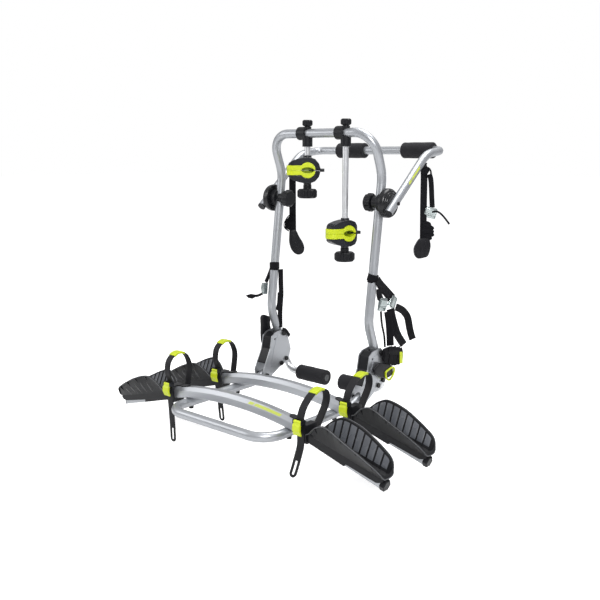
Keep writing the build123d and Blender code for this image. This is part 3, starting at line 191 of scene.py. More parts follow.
def smoothLine(points, count):  # even steps along a Catmull-Rom line through the points
    pts = [Vector(p) for p in points]
    if len(pts) == 2:
        return [pts[0].lerp(pts[1], k / count) for k in range(count + 1)]
    ends = [pts[0] * 2 - pts[1]] + pts + [pts[-1] * 2 - pts[-2]]
    fine = []
    for i in range(1, len(ends) - 2):
        a, b, c, d = ends[i - 1:i + 3]
        for k in range(fineSteps):
            t = k / fineSteps
            bend, twist = 2 * a - 5 * b + 4 * c - d, 3 * b - a - 3 * c + d
            fine.append(0.5 * (2 * b + (c - a) * t + bend * t * t + twist * t ** 3))
    fine.append(pts[-1])
    run = [0.0]
    for a, b in zip(fine, fine[1:]):
        run.append(run[-1] + (b - a).length)
    steps, j = [], 0
    for k in range(count + 1):
        want = run[-1] * k / count
        while j < len(run) - 2 and run[j + 1] < want:
            j += 1
        share = (want - run[j]) / max(run[j + 1] - run[j], 1e-9)
        steps.append(fine[j].lerp(fine[j + 1], min(max(share, 0), 1)))
    return steps


# camera, floor and light

view = {"place": (1.65088, -2.10257, 0.79058), "turn": 40.64, "down": 10.66, "lens": 46.545}

turn, down = math.radians(view["turn"]), math.radians(view["down"])
lookDir = Vector((-math.sin(turn) * math.cos(down), math.cos(turn) * math.cos(down), -math.sin(down)))
bpy.ops.object.camera_add(location=view["place"])
camera = bpy.context.object
camera.name = "studioCamera"
camera.rotation_mode = "QUATERNION"
camera.rotation_quaternion = lookDir.to_track_quat("-Z", "Y")
camera.data.lens = view["lens"]
camera.data.sensor_width = 36
camera.data.sensor_fit = "HORIZONTAL"
camera.data.clip_end = 200
bpy.context.scene.camera = camera

studio = {
    "floorDrop": 0.012, "floorSize": 60, "floorColor": (0.93, 0.93, 0.93), "floorRough": 0.9,
    "floorGlow": 0.5,
    "skyLow": (0.26, 0.26, 0.27), "skyHigh": (0.78, 0.78, 0.79), "skyFrom": -0.2, "worldStrength": 1.0,
}

deselectAll()
bpy.ops.mesh.primitive_plane_add(size=studio["floorSize"], location=(0, 0, cadLow.z - studio["floorDrop"]))
studioFloor = bpy.context.object
studioFloor.name = "studioFloor"
floorPaint = bpy.data.materials.new("studioFloorPaint")
floorPaint.use_nodes = True
floorTree = floorPaint.node_tree
seen = addNode(floorTree, "LightPath").outputs["Is Camera Ray"]
feedAll(floorTree, floorTree.nodes["Principled BSDF"], {
    "Base Color": studio["floorColor"], "Roughness": studio["floorRough"], "Emission Color": (1, 1, 1),
    # the floor glows for the camera and throws no light up
    "Emission Strength": mathNode(floorTree, "MULTIPLY", seen, studio["floorGlow"]),
})
dress(studioFloor, floorPaint)

world = bpy.data.worlds.new("studioWorld")
bpy.context.scene.world = world
world.use_nodes = True
sky = world.node_tree
height = addNode(sky, "SeparateXYZ", {"Vector": addNode(sky, "TexCoord").outputs["Generated"]}).outputs["Z"]
spread = addNode(sky, "MapRange", {"From Min": studio["skyFrom"], "From Max": 1.0, "Value": height})
ramp = addNode(sky, "ValToRGB", {"Fac": spread.outputs["Result"]})
for element, tone in zip(ramp.color_ramp.elements, (studio["skyLow"], studio["skyHigh"])):
    element.color = (*tone, 1)
seen = addNode(sky, "LightPath").outputs["Is Camera Ray"]
feedAll(sky, sky.nodes["Background"], {
    "Color": blendColors(sky, seen, ramp.outputs["Color"], (1, 1, 1)), "Strength": studio["worldStrength"],
})

softLights = {
    "keyLight": {"place": (2.6, -2.6, 2.6), "aim": (0, -0.1, 0.35), "size": 1.3, "power": 92},
    "fillLight": {"place": (-2.4, -2.2, 1.6), "aim": (0, -0.1, 0.35), "size": 1.6, "power": 20},
    "topLight": {"place": (0.3, 0.6, 3.0), "aim": (0, -0.1, 0.3), "size": 1.8, "power": 56},
}
for name, light in softLights.items():
    deselectAll()
    bpy.ops.object.light_add(type="AREA", location=light["place"])
    lamp = bpy.context.object
    lamp.name = name
    lamp.data.size = light["size"]
    lamp.data.energy = light["power"]
    lamp.rotation_mode = "QUATERNION"
    lamp.rotation_quaternion = (Vector(light["aim"]) - Vector(light["place"])).to_track_quat("-Z", "Y")
bpy.context.scene.view_settings.view_transform = "Standard"
print("camera, floor and light are set")


# shader groups

def newGroup(name, inputs, outputs):
    group = bpy.data.node_groups.new(name, "ShaderNodeTree")
    for label, value in inputs.items():
        kind = "NodeSocketVector" if isinstance(value, tuple) else "NodeSocketFloat"
        socket = group.interface.new_socket(name=label, in_out="INPUT", socket_type=kind)
        socket.default_value = value
    for label in outputs:
        group.interface.new_socket(name=label, in_out="OUTPUT", socket_type="NodeSocketFloat")
    return group, group.nodes.new("NodeGroupInput").outputs, group.nodes.new("NodeGroupOutput")


def buildGrainGroup():  # fine moulded grain with a broad drift of tone
    group, entry, leave = newGroup(
        "mouldedGrain", {"Vector": (0, 0, 0), "Grain Scale": 900.0, "Drift Scale": 14.0}, ["Height", "Drift"])
    for label, detail, scale in (("Height", 3, "Grain Scale"), ("Drift", 4, "Drift Scale")):
        look = {"Detail": detail, "Vector": entry["Vector"], "Scale": entry[scale]}
        noise = addNode(group, "TexNoise", look)
        feedAll(group, leave, {label: noise.outputs["Fac"]})
    return group


def buildDustGroup():  # soft dust that gathers on upward faces
    group, entry, leave = newGroup("settledDust", {"Vector": (0, 0, 0), "Amount": 0.3}, ["Mask"])
    normal = addNode(group, "NewGeometry").outputs["Normal"]
    parts = addNode(group, "SeparateXYZ", {"Vector": normal})
    noise = addNode(group, "TexNoise", {"Scale": 38, "Detail": 6, "Vector": entry["Vector"]})
    up = mathNode(group, "MAXIMUM", parts.outputs["Z"], 0.0)
    cloudy = mathNode(group, "MULTIPLY", up, noise.outputs["Fac"])
    feedAll(group, leave, {"Mask": mathNode(group, "MULTIPLY", cloudy, entry["Amount"])})
    return group


def buildScuffGroup():  # thin handling scratches
    group, entry, leave = newGroup("handlingScuffs", {"Vector": (0, 0, 0), "Scale": 20.0}, ["Mask"])
    warp = addNode(group, "TexNoise", {"Scale": 7, "Vector": entry["Vector"]})
    stretch = addNode(group, "Mapping", {"Scale": (1, 1, 9), "Vector": entry["Vector"]})
    scratch = addNode(
        group, "TexNoise", {"Detail": 8, "Vector": stretch.outputs["Vector"], "Scale": entry["Scale"]})
    rough = mathNode(group, "SUBTRACT", scratch.outputs["Fac"], 0.58)
    sharp = mathNode(group, "MULTIPLY", rough, 9.0)
    masked = mathNode(group, "MULTIPLY", sharp, warp.outputs["Fac"])
    clean = mathNode(group, "MINIMUM", mathNode(group, "MAXIMUM", masked, 0.0), 1.0)
    feedAll(group, leave, {"Mask": clean})
    return group


def buildWeaveGroup():  # plain woven tape, read along and across its own UV map in metres; its shade output is painted shade in the dips between the threads
    group, entry, leave = newGroup(
        "wovenTape", {"Vector": (0, 0, 0), "Along": 260.0, "Across": 190.0}, ["Height", "Painted Shade"])
    total = 0.0
    for label, direction, weight in (("Along", "X", 0.7), ("Across", "Y", 0.6)):
        look = {"Distortion": 0.3, "Vector": entry["Vector"], "Scale": entry[label]}
        wave = addNode(group, "TexWave", look, bands_direction=direction)
        total = mathNode(group, "ADD", total, mathNode(group, "MULTIPLY", wave.outputs["Fac"], weight))
    feedAll(group, leave, {"Height": total, "Painted Shade": mathNode(group, "MULTIPLY", total, 0.75)})
    return group


grainGroup = buildGrainGroup()
dustGroup = buildDustGroup()
scuffGroup = buildScuffGroup()
weaveGroup = buildWeaveGroup()


# finishes

def newFinish(name, color, roughness, metallic=0.0, coordinate="Object"):
    material = bpy.data.materials.new(name)
    material.use_nodes = True
    tree = material.node_tree
    shader = tree.nodes["Principled BSDF"]
    feedAll(tree, shader, {"Base Color": color, "Roughness": roughness, "Metallic": metallic})
    return material, tree, shader, addNode(tree, "TexCoord").outputs[coordinate]


def useGroup(tree, group, vector, values):
    return addNode(tree, "Group", {"Vector": vector, **values}, node_tree=group).outputs


def useGrain(tree, vector, grainScale, driftScale):
    grain = useGroup(tree, grainGroup, vector, {"Grain Scale": grainScale, "Drift Scale": driftScale})
    return grain["Height"], grain["Drift"]


def worn(tree, tone, mask, amount, color):  # the tone with dust or wear over it where the mask says
    return blendColors(tree, mathNode(tree, "MULTIPLY", mask, amount), tone, color)


def addBump(tree, height, strength, distance):
    bump = addNode(tree, "Bump", {"Strength": strength, "Distance": distance, "Height": height})
    return bump.outputs["Normal"]


def mapRange(tree, value, low, high):
    return addNode(tree, "MapRange", {"To Min": low, "To Max": high, "Value": value}).outputs["Result"]


def makeSilverCoat():
    look = {"color": (0.372, 0.387, 0.408), "light": (0.44, 0.455, 0.48), "rough": (0.30, 0.42)}
    material, tree, shader, place = newFinish("silverCoat", look["color"], 0.36, 0.72)
    height, drift = useGrain(tree, place, 1500.0, 9.0)
    scuffs = useGroup(tree, scuffGroup, place, {"Scale": 24.0})
    tone = blendColors(tree, drift, look["color"], look["light"])
    feedAll(tree, shader, {
        "Base Color": worn(tree, tone, scuffs["Mask"], 0.22, (0.36, 0.37, 0.39)),
        "Roughness": mapRange(tree, drift, *look["rough"]),
        "Normal": addBump(tree, height, 0.05, 0.0004), "Coat Weight": 0.15, "Coat Roughness": 0.2,
    })
    return material


def makeRodMetal():
    material, tree, shader, place = newFinish("drawnAluminium", (0.78, 0.79, 0.8), 0.3, 0.9)
    stretch = addNode(tree, "Mapping", {"Scale": (60, 60, 1.2), "Vector": place}).outputs["Vector"]
    lines = addNode(tree, "TexNoise", {"Scale": 20, "Detail": 4, "Vector": stretch}).outputs["Fac"]
    feedAll(tree, shader, {
        "Base Color": blendColors(tree, lines, (0.66, 0.67, 0.69), (0.86, 0.87, 0.88)),
        "Roughness": mapRange(tree, lines, 0.22, 0.42), "Normal": addBump(tree, lines, 0.05, 0.0003),
    })
    return material


def makeBlackPlastic(name, dark, light, rough, grainScale, bump, shine=0.22):
    material, tree, shader, place = newFinish(name, dark, rough[0])
    height, drift = useGrain(tree, place, grainScale, 18.0)
    dust = useGroup(tree, dustGroup, place, {"Amount": 0.30})
    tone = blendColors(tree, drift, dark, light)
    feedAll(tree, shader, {
        "Base Color": worn(tree, tone, dust["Mask"], 0.1, (0.22, 0.215, 0.2)),
        "Roughness": mapRange(tree, drift, *rough),
        "Normal": addBump(tree, height, bump, 0.0004), "Specular IOR Level": shine,
    })
    return material


def makeFoam():
    material, tree, shader, place = newFinish("closedCellFoam", (0.016, 0.016, 0.018), 0.85)
    cells = addNode(tree, "TexVoronoi", {"Scale": 850, "Vector": place})
    height, drift = useGrain(tree, place, 260.0, 12.0)
    rise = mathNode(tree, "ADD", cells.outputs["Distance"], height)
    feedAll(tree, shader, {
        "Base Color": blendColors(tree, drift, (0.008, 0.008, 0.010), (0.018, 0.018, 0.021)),
        "Normal": addBump(tree, rise, 0.35, 0.0006),
        "Sheen Weight": 0.05, "Specular IOR Level": 0.2, "Sheen Roughness": 0.6,
    })
    return material


def makeLime(name, dark, light):
    material, tree, shader, place = newFinish(name, light, 0.34)
    height, drift = useGrain(tree, place, 700.0, 20.0)
    dust = useGroup(tree, dustGroup, place, {"Amount": 0.2})
    tone = blendColors(tree, drift, dark, light)
    feedAll(tree, shader, {
        "Base Color": worn(tree, tone, dust["Mask"], 0.4, (0.45, 0.47, 0.2)),
        "Roughness": mapRange(tree, drift, 0.28, 0.42), "Normal": addBump(tree, height, 0.06, 0.0003),
    })
    return material


def makeLimeRibbed():
    material, tree, shader, place = newFinish("limeSleeveRubber", (0.68, 0.82, 0.01), 0.45, 0.0, "UV")
    ribs = addNode(tree, "TexWave", {"Scale": 52, "Vector": place}, bands_direction="X").outputs["Fac"]
    height, _ = useGrain(tree, place, 600.0, 30.0)
    rise = mathNode(tree, "ADD", ribs, mathNode(tree, "MULTIPLY", height, 0.1))
    feedAll(tree, shader, {
        # darker where the ribs dip: painted shade in the grooves between the ribs
        "Base Color": blendColors(tree, ribs, (0.38, 0.48, 0.004), (0.62, 0.71, 0.014)),
        "Normal": addBump(tree, rise, 0.6, 0.0012),
    })
    return material


def makeWebbing():
    material, tree, shader, place = newFinish("wovenWebbing", (0.02, 0.02, 0.024), 0.75, 0.0, "UV")
    weave = useGroup(tree, weaveGroup, place, {"Along": 230.0, "Across": 160.0})
    feedAll(tree, shader, {
        # the tape's colour follows the weave, darker in its dips: painted shade between the threads
        "Base Color": blendColors(tree, weave["Painted Shade"], (0.002, 0.002, 0.003), (0.013, 0.013, 0.016)),
        "Normal": addBump(tree, weave["Height"], 0.7, 0.0005),
        "Sheen Weight": 0.03, "Sheen Roughness": 0.45, "Specular IOR Level": 0.1,
    })
    return material


def makeZinc():
    material, tree, shader, place = newFinish("zincPlate", (0.62, 0.66, 0.66), 0.3, 1.0)
    height, drift = useGrain(tree, place, 400.0, 60.0)
    scuffs = useGroup(tree, scuffGroup, place, {"Scale": 70.0})
    feedAll(tree, shader, {
        "Base Color": blendColors(tree, drift, (0.34, 0.39, 0.39), (0.56, 0.61, 0.60)),
        "Roughness": mapRange(tree, scuffs["Mask"], 0.24, 0.5), "Normal": addBump(tree, height, 0.08, 0.0003),
    })
    return material


silverCoat = makeSilverCoat()
rodMetal = makeRodMetal()
blackLooks = {  # darkest and lightest tone, roughness range, grain, bump and shine
    "blackMoulding": ((0.006, 0.0065, 0.008), (0.013, 0.0135, 0.016), (0.28, 0.42), 900.0, 0.12),
    "trayMoulding": ((0.0045, 0.005, 0.006), (0.010, 0.0105, 0.0125), (0.27, 0.42), 700.0, 0.10, 0.24),
    "strapRubber": ((0.008, 0.008, 0.010), (0.016, 0.016, 0.018), (0.42, 0.58), 500.0, 0.15),
    "blackSteel": ((0.006, 0.006, 0.007), (0.015, 0.015, 0.016), (0.25, 0.38), 300.0, 0.05),
    "hookCoat": ((0.006, 0.006, 0.008), (0.012, 0.012, 0.015), (0.26, 0.38), 350.0, 0.08),
    "plugPlastic": ((0.07, 0.073, 0.078), (0.10, 0.105, 0.11), (0.45, 0.6), 600.0, 0.08),
    "clawMoulding": ((0.006, 0.007, 0.010), (0.013, 0.015, 0.020), (0.22, 0.34), 800.0, 0.06, 0.4),
    "hubMoulding": ((0.005, 0.0055, 0.007), (0.011, 0.0115, 0.013), (0.2, 0.32), 700.0, 0.05, 0.4),
    # lighter grey: a painted highlight along the tray rims
    "trayLipPaintedHighlight": ((0.045, 0.047, 0.052), (0.070, 0.073, 0.080), (0.22, 0.34), 600.0, 0.04, 0.5),
    # lighter grey: a painted reflection on the trays' inner walls
    "trayPanelPaintedReflection": ((0.055, 0.060, 0.070), (0.125, 0.132, 0.148), (0.2, 0.34), 500.0, 0.08, 0.6),
}
black = {name: makeBlackPlastic(name, *look) for name, look in blackLooks.items()}
foam = makeFoam()
lime = makeLime("limeMoulding", (0.46, 0.56, 0.006), (0.60, 0.69, 0.014))
# darker lime: the liner's own colour with painted shade inside the claws' eyes
limePaintedShadeLining = makeLime("limeLiningPaintedShade", (0.20, 0.27, 0.004), (0.34, 0.42, 0.006))
limePrint = makeLime("limePrint", (0.42, 0.50, 0.05), (0.52, 0.58, 0.10))
limeRibbed = makeLimeRibbed()
webbing = makeWebbing()
zinc = makeZinc()

finishOf = {
    "frame_paint": silverCoat, "bare_aluminium": rodMetal, "zinc_plate": zinc, "foam": foam,
    "webbing": webbing, "lime_plastic": lime, "black_plastic": black["blackMoulding"],
    "rubber_strap": black["strapRubber"], "black_steel": black["blackSteel"],
}
for part in frame["record"]["subparts"]:
    dress(nodes[part["node"]], finishOf[part["material_slot"]])
for name in nodes:
    if name.startswith("tray_") and name != "tray_rails":
        dress(nodes[name], black["trayMoulding"])
print("finishes are on the nodes")


# shared forms

def newMesh(name, points, faces, edges=()):
    mesh = bpy.data.meshes.new(name)
    mesh.from_pydata([tuple(p) for p in points], list(edges), list(faces))
    obj = bpy.data.objects.new(name, mesh)
    bpy.context.collection.objects.link(obj)
    return obj


def gridSheet(name, columns, rows, placeAt, thickness, offset):  # thin sheet over a grid of places
    points = [placeAt(i, j) * mm for i in range(columns + 1) for j in range(rows + 1)]
    faces = []
    for i in range(columns):
        for j in range(rows):
            a = i * (rows + 1) + j
            faces.append((a, a + 1, a + rows + 2, a + rows + 1))
    obj = newMesh(name, points, faces)
    thicken(obj, thickness * mm, offset)
    tidyMesh(obj)
    return obj


def tidyMesh(obj):  # doubles merged, faces turned outward
    intoEdit(obj)
    bpy.ops.mesh.remove_doubles(threshold=0.00002)
    bpy.ops.mesh.normals_make_consistent(inside=False)
    outOfEdit()


def bevelled(obj, width, segments=3, angle=30, profile=0.5):
    modifier = obj.modifiers.new("softEdge", "BEVEL")
    modifier.width = width
    modifier.segments = segments
    modifier.limit_method = "ANGLE"
    modifier.angle_limit = math.radians(angle)
    modifier.profile = profile
    applyModifiers(obj)
    return obj


def lathe(name, profile, origin, axis, steps=48):  # profile of (along, radius) in mm, spun round an axis
    axis = Vector(axis).normalized()
    side = axis.orthogonal().normalized()
    origin = Vector(origin) * mm
    points = [origin + axis * (a * mm) + side * (r * mm) for a, r in profile]
    edges = [(i, i + 1) for i in range(len(points) - 1)]
    obj = newMesh(name, points, [], edges)
    intoEdit(obj)
    bpy.ops.mesh.spin(steps=steps, angle=math.tau, center=origin, axis=axis)
    outOfEdit()
    tidyMesh(obj)
    return obj


def band(name, line, across, width, thickness, skip=None, narrow=None):
    # a flat strap: its middle line, the direction of its width, and a UV map in metres
    across = [Vector(across).normalized()] * len(line) if not isinstance(across, list) else across
    marks = (-0.5, -0.17, 0.17, 0.5)
    points, faces, uvs, run = [], [], [], 0.0
    for k, p in enumerate(line):
        run += (p - line[k - 1]).length if k else 0.0
        share = narrow(k / (len(line) - 1)) if narrow else 1.0
        for mark in marks:
            points.append(p + across[k] * (mark * width * share))
            uvs.append((run, mark * width * share))
    cols = len(marks)
    for k in range(len(line) - 1):
        for c in range(cols - 1):
            if skip and skip(k / (len(line) - 1), c):
                continue
            a = k * cols + c
            faces.append((a, a + 1, a + cols + 1, a + cols))
    obj = newMesh(name, points, faces)
    writeUV(obj, lambda _, k: uvs[k])
    thicken(obj, thickness)
    bevelled(obj, min(thickness * 0.35, 0.0009), 2, 50)
    return obj


def slab(name, outline, place, low, high, soft, turnUV=0.0):
    # an outline of (r, z) points in mm on a placed plane, given its thickness and rounded edges
    count = len(outline)
    points = [place @ Vector((r * mm, z * mm, low * mm)) for r, z in outline]
    points += [place @ Vector((r * mm, z * mm, high * mm)) for r, z in outline]
    faces = [tuple(range(count))[::-1], tuple(range(count, 2 * count))]
    faces += [(i, (i + 1) % count, count + (i + 1) % count, count + i) for i in range(count)]
    obj = newMesh(name, points, faces)
    tidyMesh(obj)
    flatNormal = (place.to_3x3() @ Vector((0, 0, 1))).normalized()
    selectEdges(obj, lambda a, b: abs((a - b).normalized().dot(flatNormal)) > 0.9)
    bpy.ops.mesh.bevel(offset=soft * 1.6 * mm, segments=4, clamp_overlap=True)
    outOfEdit()
    bevelled(obj, min(soft, (high - low) * 0.42) * mm, 3, 40)
    back = place.inverted()
    c, s = math.cos(math.radians(turnUV)), math.sin(math.radians(turnUV))

    def uvAt(point, _):
        local = back @ point
        return local.x * c + local.y * s + local.z, -local.x * s + local.y * c

    writeUV(obj, uvAt)
    return obj


def placedPlane(origin, across, up):  # columns: across, up, outward
    across, up = Vector(across).normalized(), Vector(up).normalized()
    out = across.cross(up)
    m = Matrix((across, up, out)).transposed().to_4x4()
    m.translation = Vector(origin) * mm
    return m


def bead(name, line, radius, closed=False):  # a round bead along a line, made from a curve
    curve = bpy.data.curves.new(name, "CURVE")
    curve.dimensions = "3D"
    curve.bevel_depth = radius * mm
    curve.bevel_resolution = 3
    curve.use_fill_caps = True
    spline = curve.splines.new("POLY")
    spline.points.add(len(line) - 1)
    for point, place in zip(spline.points, line):
        point.co = (*place, 1)
    spline.use_cyclic_u = closed
    obj = bpy.data.objects.new(name, curve)
    bpy.context.collection.objects.link(obj)
    pick(obj)
    bpy.ops.object.convert(target="MESH")
    obj = bpy.context.object
    tidyMesh(obj)
    return obj


def softened(name, nodeName, voxel, rounds, keptShare=0.45):
    # a CAD node's own form with its edges rounded as a moulding's are
    source = nodes[nodeName]
    obj = source.copy()
    obj.data = source.data.copy()
    obj.name = name
    bpy.context.collection.objects.link(obj)
    for key in list(obj.keys()):
        del obj[key]
    obj.parent = None
    obj.matrix_world = source.matrix_world
    applyPlace(obj)
    tidyMesh(obj)
    mesh = obj.modifiers.new("evenMesh", "REMESH")
    mesh.mode = "VOXEL"
    mesh.voxel_size = voxel
    smooth = obj.modifiers.new("rounding", "SMOOTH")
    smooth.factor = 0.5
    smooth.iterations = rounds
    fewer = obj.modifiers.new("fewer", "DECIMATE")
    fewer.ratio = keptShare
    applyModifiers(obj)
    return obj


# foam sleeves

sleeve = {"radius": 27.5, "edge": 5.0, "crown": 0.28, "wave": 0.25, "waveStep": 0.11}
padSleeves = {  # ends along X, centre (Y, Z) and the bore at each end
    "upper_pad_left": {"body": "arm", "ends": (-171, -49), "centre": (247, 803), "bores": (14.2, 14.2)},
    "upper_pad_right": {"body": "arm", "ends": (116, 238), "centre": (247, 803), "bores": (14.2, 14.2)},
    "lower_pad_left": {
        "body": "bumper_arm_left", "ends": (-155, -27), "centre": (0, 0), "bores": (12.7, 12.0)},
    "lower_pad_right": {
        "body": "bumper_arm_right", "ends": (40, 155), "centre": (0, 0), "bores": (12.0, 12.7)},
}


def foamSleeve(node, body, ends, centre, bores):
    r, edge = sleeve["radius"], sleeve["edge"]
    start, length = ends[0], ends[1] - ends[0]
    profile = [(0, bores[0]), (0, r - edge)]
    for k in range(1, 7):
        t = k / 6 * math.pi / 2
        profile.append((edge * (1 - math.cos(t)), r - edge + edge * math.sin(t)))
    for k in range(1, 12):
        along = edge + (length - 2 * edge) * k / 12
        swell = sleeve["crown"] * (math.sin(math.pi * k / 12) - 1)
        profile.append((along, r + swell + sleeve["wave"] * math.sin(along * sleeve["waveStep"] + start)))
    for k in range(0, 7):
        t = (1 - k / 6) * math.pi / 2
        profile.append((length - edge * (1 - math.cos(t)), r - edge + edge * math.sin(t)))
    profile += [(length, bores[1]), (length, bores[1]), (0, bores[0])]
    piece = lathe(node + "Foam", profile, (start, *centre), (1, 0, 0), 56)
    finishPiece(piece, node + "Foam", body, "foam", foam, [node], 50)


for node, pad in padSleeves.items():
    foamSleeve(node, **pad)

plug = {"profile": [(-3, 11.8), (0.4, 11.8), (1.2, 10.6), (0.5, 8.6), (0.5, 3.0), (1.0, 2.2), (1.0, 0.0)]}


def tubePlug(name, body, x, direction):  # moulded plug in the pad's inner end
    profile = [(a * direction, r) for a, r in plug["profile"]]
    piece = lathe(name, profile, (x, 0, 0), (1, 0, 0), 40)
    finishPiece(piece, name, body, "black_plastic", black["plugPlastic"])


tubePlug("padPlugLeft", "bumper_arm_left", padSleeves["lower_pad_left"]["ends"][1], 1)
tubePlug("padPlugRight", "bumper_arm_right", padSleeves["lower_pad_right"]["ends"][0], -1)
print("foam sleeves are done")


# wheel straps with their lime sleeves

wheelStrap = {  # lines are (Y from the rail, Z); every size in mm
    "x": 284.0, "width": 26.0, "thickness": 3.2, "near": -28.9, "foot": (45, 13),
    "left": [(-39, 85), (-33, 120), (-10, 141), (14, 144), (38, 132), (53, 105), (56, 80), (51, 45)],
    "right": [(-15, 85), (17, 112), (52, 122), (80, 112), (88, 90), (82, 66), (64, 40)],
    "tails": {
        "front_left": [(-27, -49), (-24, -105), (-23, -159)],
        "rear_left": [(-23, -49), (-18, -90), (-12, -146)],
        "front_right": [(-37, -49), (-53, -85), (-67, -112)],
        "rear_right": [(-31, -49), (-36, -80), (-42, -108)],
    },
    "rows": {"front": -478.5, "rear": -263.5},
    "slot": (50, 10), "sleeveHalf": 24, "sleeveShift": {"left": 1, "right": 3},
    "sleeveWider": 3, "sleeveThickness": 7.0, "sleeveSoft": 1.2,
}


def strapLine(sideSign, y, points, count):
    x = sideSign * wheelStrap["x"]
    return smoothLine([Vector((x, y + u, z)) * mm for u, z in points], count)


def lineLength(line):
    return sum((b - a).length for a, b in zip(line, line[1:]))


def wheelStrapPiece(row, sideName):
    sideSign = -1 if sideName == "left" else 1
    y, near = wheelStrap["rows"][row], wheelStrap["near"]
    name = row + sideName.capitalize()
    loopPoints = [(near, 40), (near, 56), *wheelStrap[sideName], wheelStrap["foot"]]
    line = strapLine(sideSign, y, loopPoints, 90)
    width, thickness = wheelStrap["width"] * mm, wheelStrap["thickness"] * mm
    loop = band("loop" + name, line, (1, 0, 0), width, thickness)
    tail = wheelStrap["tails"][row + "_" + sideName]
    tailLine = strapLine(sideSign, y, [(near, 14), (near, -24)] + tail, 64)
    tailLength = lineLength(tailLine)
    slotLow, slotHigh = (1 - left * mm / tailLength for left in wheelStrap["slot"])

    def inSlot(share, column):
        return column == 1 and slotLow < share < slotHigh

    def roundEnd(share):
        left = (1 - share) * tailLength / (width * 0.5)
        return math.sqrt(max(1 - (1 - min(left, 1)) ** 2, 0.04))

    lower = band("tail" + name, tailLine, (1, 0, 0), width, thickness, inSlot, roundEnd)
    strap = joinPieces([loop, lower])
    finishPiece(strap, "wheelStrap" + name, "platform", "rubber_strap", black["strapRubber"])
    limeSleeve(name, line, wheelStrap["sleeveShift"][sideName])
    return strap


def limeSleeve(name, line, shift):  # the ribbed lime pad round the top of the loop
    top = max(range(len(line)), key=lambda k: line[k].z)
    reach = int(wheelStrap["sleeveHalf"] * mm / (line[1] - line[0]).length)
    part = line[top - shift - reach:top - shift + reach + 1]
    part = smoothLine(part[::3] + [part[-1]], 36)
    width = (wheelStrap["width"] + wheelStrap["sleeveWider"]) * mm
    pad = band("limeSleeve" + name, part, (1, 0, 0), width, wheelStrap["sleeveThickness"] * mm)
    bevelled(pad, wheelStrap["sleeveSoft"] * mm, 3, 40)
    finishPiece(pad, "limeSleeve" + name, "platform", "lime_plastic", limeRibbed, (), 40)


wheelPieces = [wheelStrapPiece(row, side) for row in ("front", "rear") for side in ("left", "right")]
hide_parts("wheel_straps_front")
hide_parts("wheel_straps_rear")
print("wheel straps are done")


# straps that hang from the upper arm

upperStrap = {"armX": 272.0, "hub": (-37.39, 636.7), "rise": 0.8498, "drop": 28.0, "turn": 40.6}


def strapPlane(sideSign, y):
    z = upperStrap["hub"][1] + (y - upperStrap["hub"][0]) * upperStrap["rise"] - upperStrap["drop"]
    t = math.radians(upperStrap["turn"])
    return placedPlane((sideSign * upperStrap["armX"], y, z), (math.cos(t), math.sin(t), 0), (0, 0, 1))


def planeLine(plane, points, count):
    return smoothLine([plane @ (Vector(point) * mm) for point in points], count)


def planeBand(name, plane, points, faceOn, width, thickness, count=40):
    across = plane.to_3x3() @ Vector((1, 0, 0) if faceOn else (0, 0, 1))
    return band(name, planeLine(plane, points, count), across, width * mm, thickness * mm)


def runAt(line, k):  # which way a line runs at its point k
    return (line[min(k + 1, len(line) - 1)] - line[max(k - 1, 0)]).normalized()


def flatBand(name, plane, points, width, thickness, count=30):  # its width lies in the plane, across the run
    line = planeLine(plane, points, count)
    out = plane.to_3x3() @ Vector((0, 0, 1))
    across = [out.cross(runAt(line, k)).normalized() for k in range(count + 1)]
    return band(name, line, across, width * mm, thickness * mm)


def coatedHook(name, plane, outline, thickness, soft):
    return slab(name, outline, plane, -thickness / 2, thickness / 2, soft)


leftPlane = strapPlane(-1, 95)
rightPlane = strapPlane(1, 128)

# points are (along the strap's plane, up, outward) in mm from its pin
# a web has its middle line, whether it lies face on, its width and its thickness
hangingLeft = {
    "webs": [
        ([(0, -13, 3.0), (0, -30, 2.4), (0, -110, 2.0), (1, -232, 2.2)], True, 25.0, 1.8),
        ([(0, -13, -3.0), (-1, -40, -2.2), (0, -120, -1.6), (1, -226, -1.4)], True, 24.0, 1.8),
        ([(0, -40, 4.4), (0.5, -100, 4.2), (0, -150, 4.4)], True, 24.6, 1.6),
        ([(-2, -150, 0), (-18, -162, 1), (-31, -184, 1), (-30, -203, 0), (-14, -216, 0)], False, 24.0, 2.4),
        ([(-6, -158, 0), (-20, -174, 1), (-25, -190, 0), (-12, -206, 0)], False, 23.0, 2.4),
    ],
    "neck": [(-6.5, 3), (6.5, 3), (8, -10), (12, -18), (-12, -18), (-8, -10)],
    "fold": [(-8, -156), (-30, -178), (-29, -204), (-8, -214)],
    "hook": [(-12, -210), (13, -210), (24, -236), (41, -262), (46, -286), (36, -304), (14, -306),
             (-5, -288), (-14, -258)],
    "hookThickness": 20, "hookSoft": 7.0,
    "rib": [(-3, -226), (6, -226), (20, -262), (26, -284), (19, -292), (10, -286), (2, -262)],
    "studs": [(12, -262), (16, -276), (20, -288)],
}


def hangingStrapLeft():
    look = hangingLeft
    webs = [planeBand("web", leftPlane, *web) for web in look["webs"]]
    webs.append(slab("neck", look["neck"], leftPlane, -4, 4, 1.4))
    webs.append(slab("fold", look["fold"], leftPlane, -5, 5, 3.0, 50))
    web = joinPieces(webs)
    finishPiece(web, "hangingWebLeft", "hanging_strap_left", "webbing", webbing, ["upper_strap_left"], 40)
    pieces = [coatedHook("hook", leftPlane, look["hook"], look["hookThickness"], look["hookSoft"])]
    pieces.append(slab("rib", look["rib"], leftPlane, 8.5, 11.2, 1.4))
    for r, z in look["studs"]:
        outline = [(r - 5, z - 3), (r + 4, z - 4), (r + 5, z + 2), (r - 4, z + 4)]
        pieces.append(slab("stud", outline, leftPlane, 10, 13, 1.0))
    hook = joinPieces(pieces)
    finishPiece(hook, "coatedHookLeft", "hanging_strap_left", "black_plastic", black["hookCoat"], (), 50)


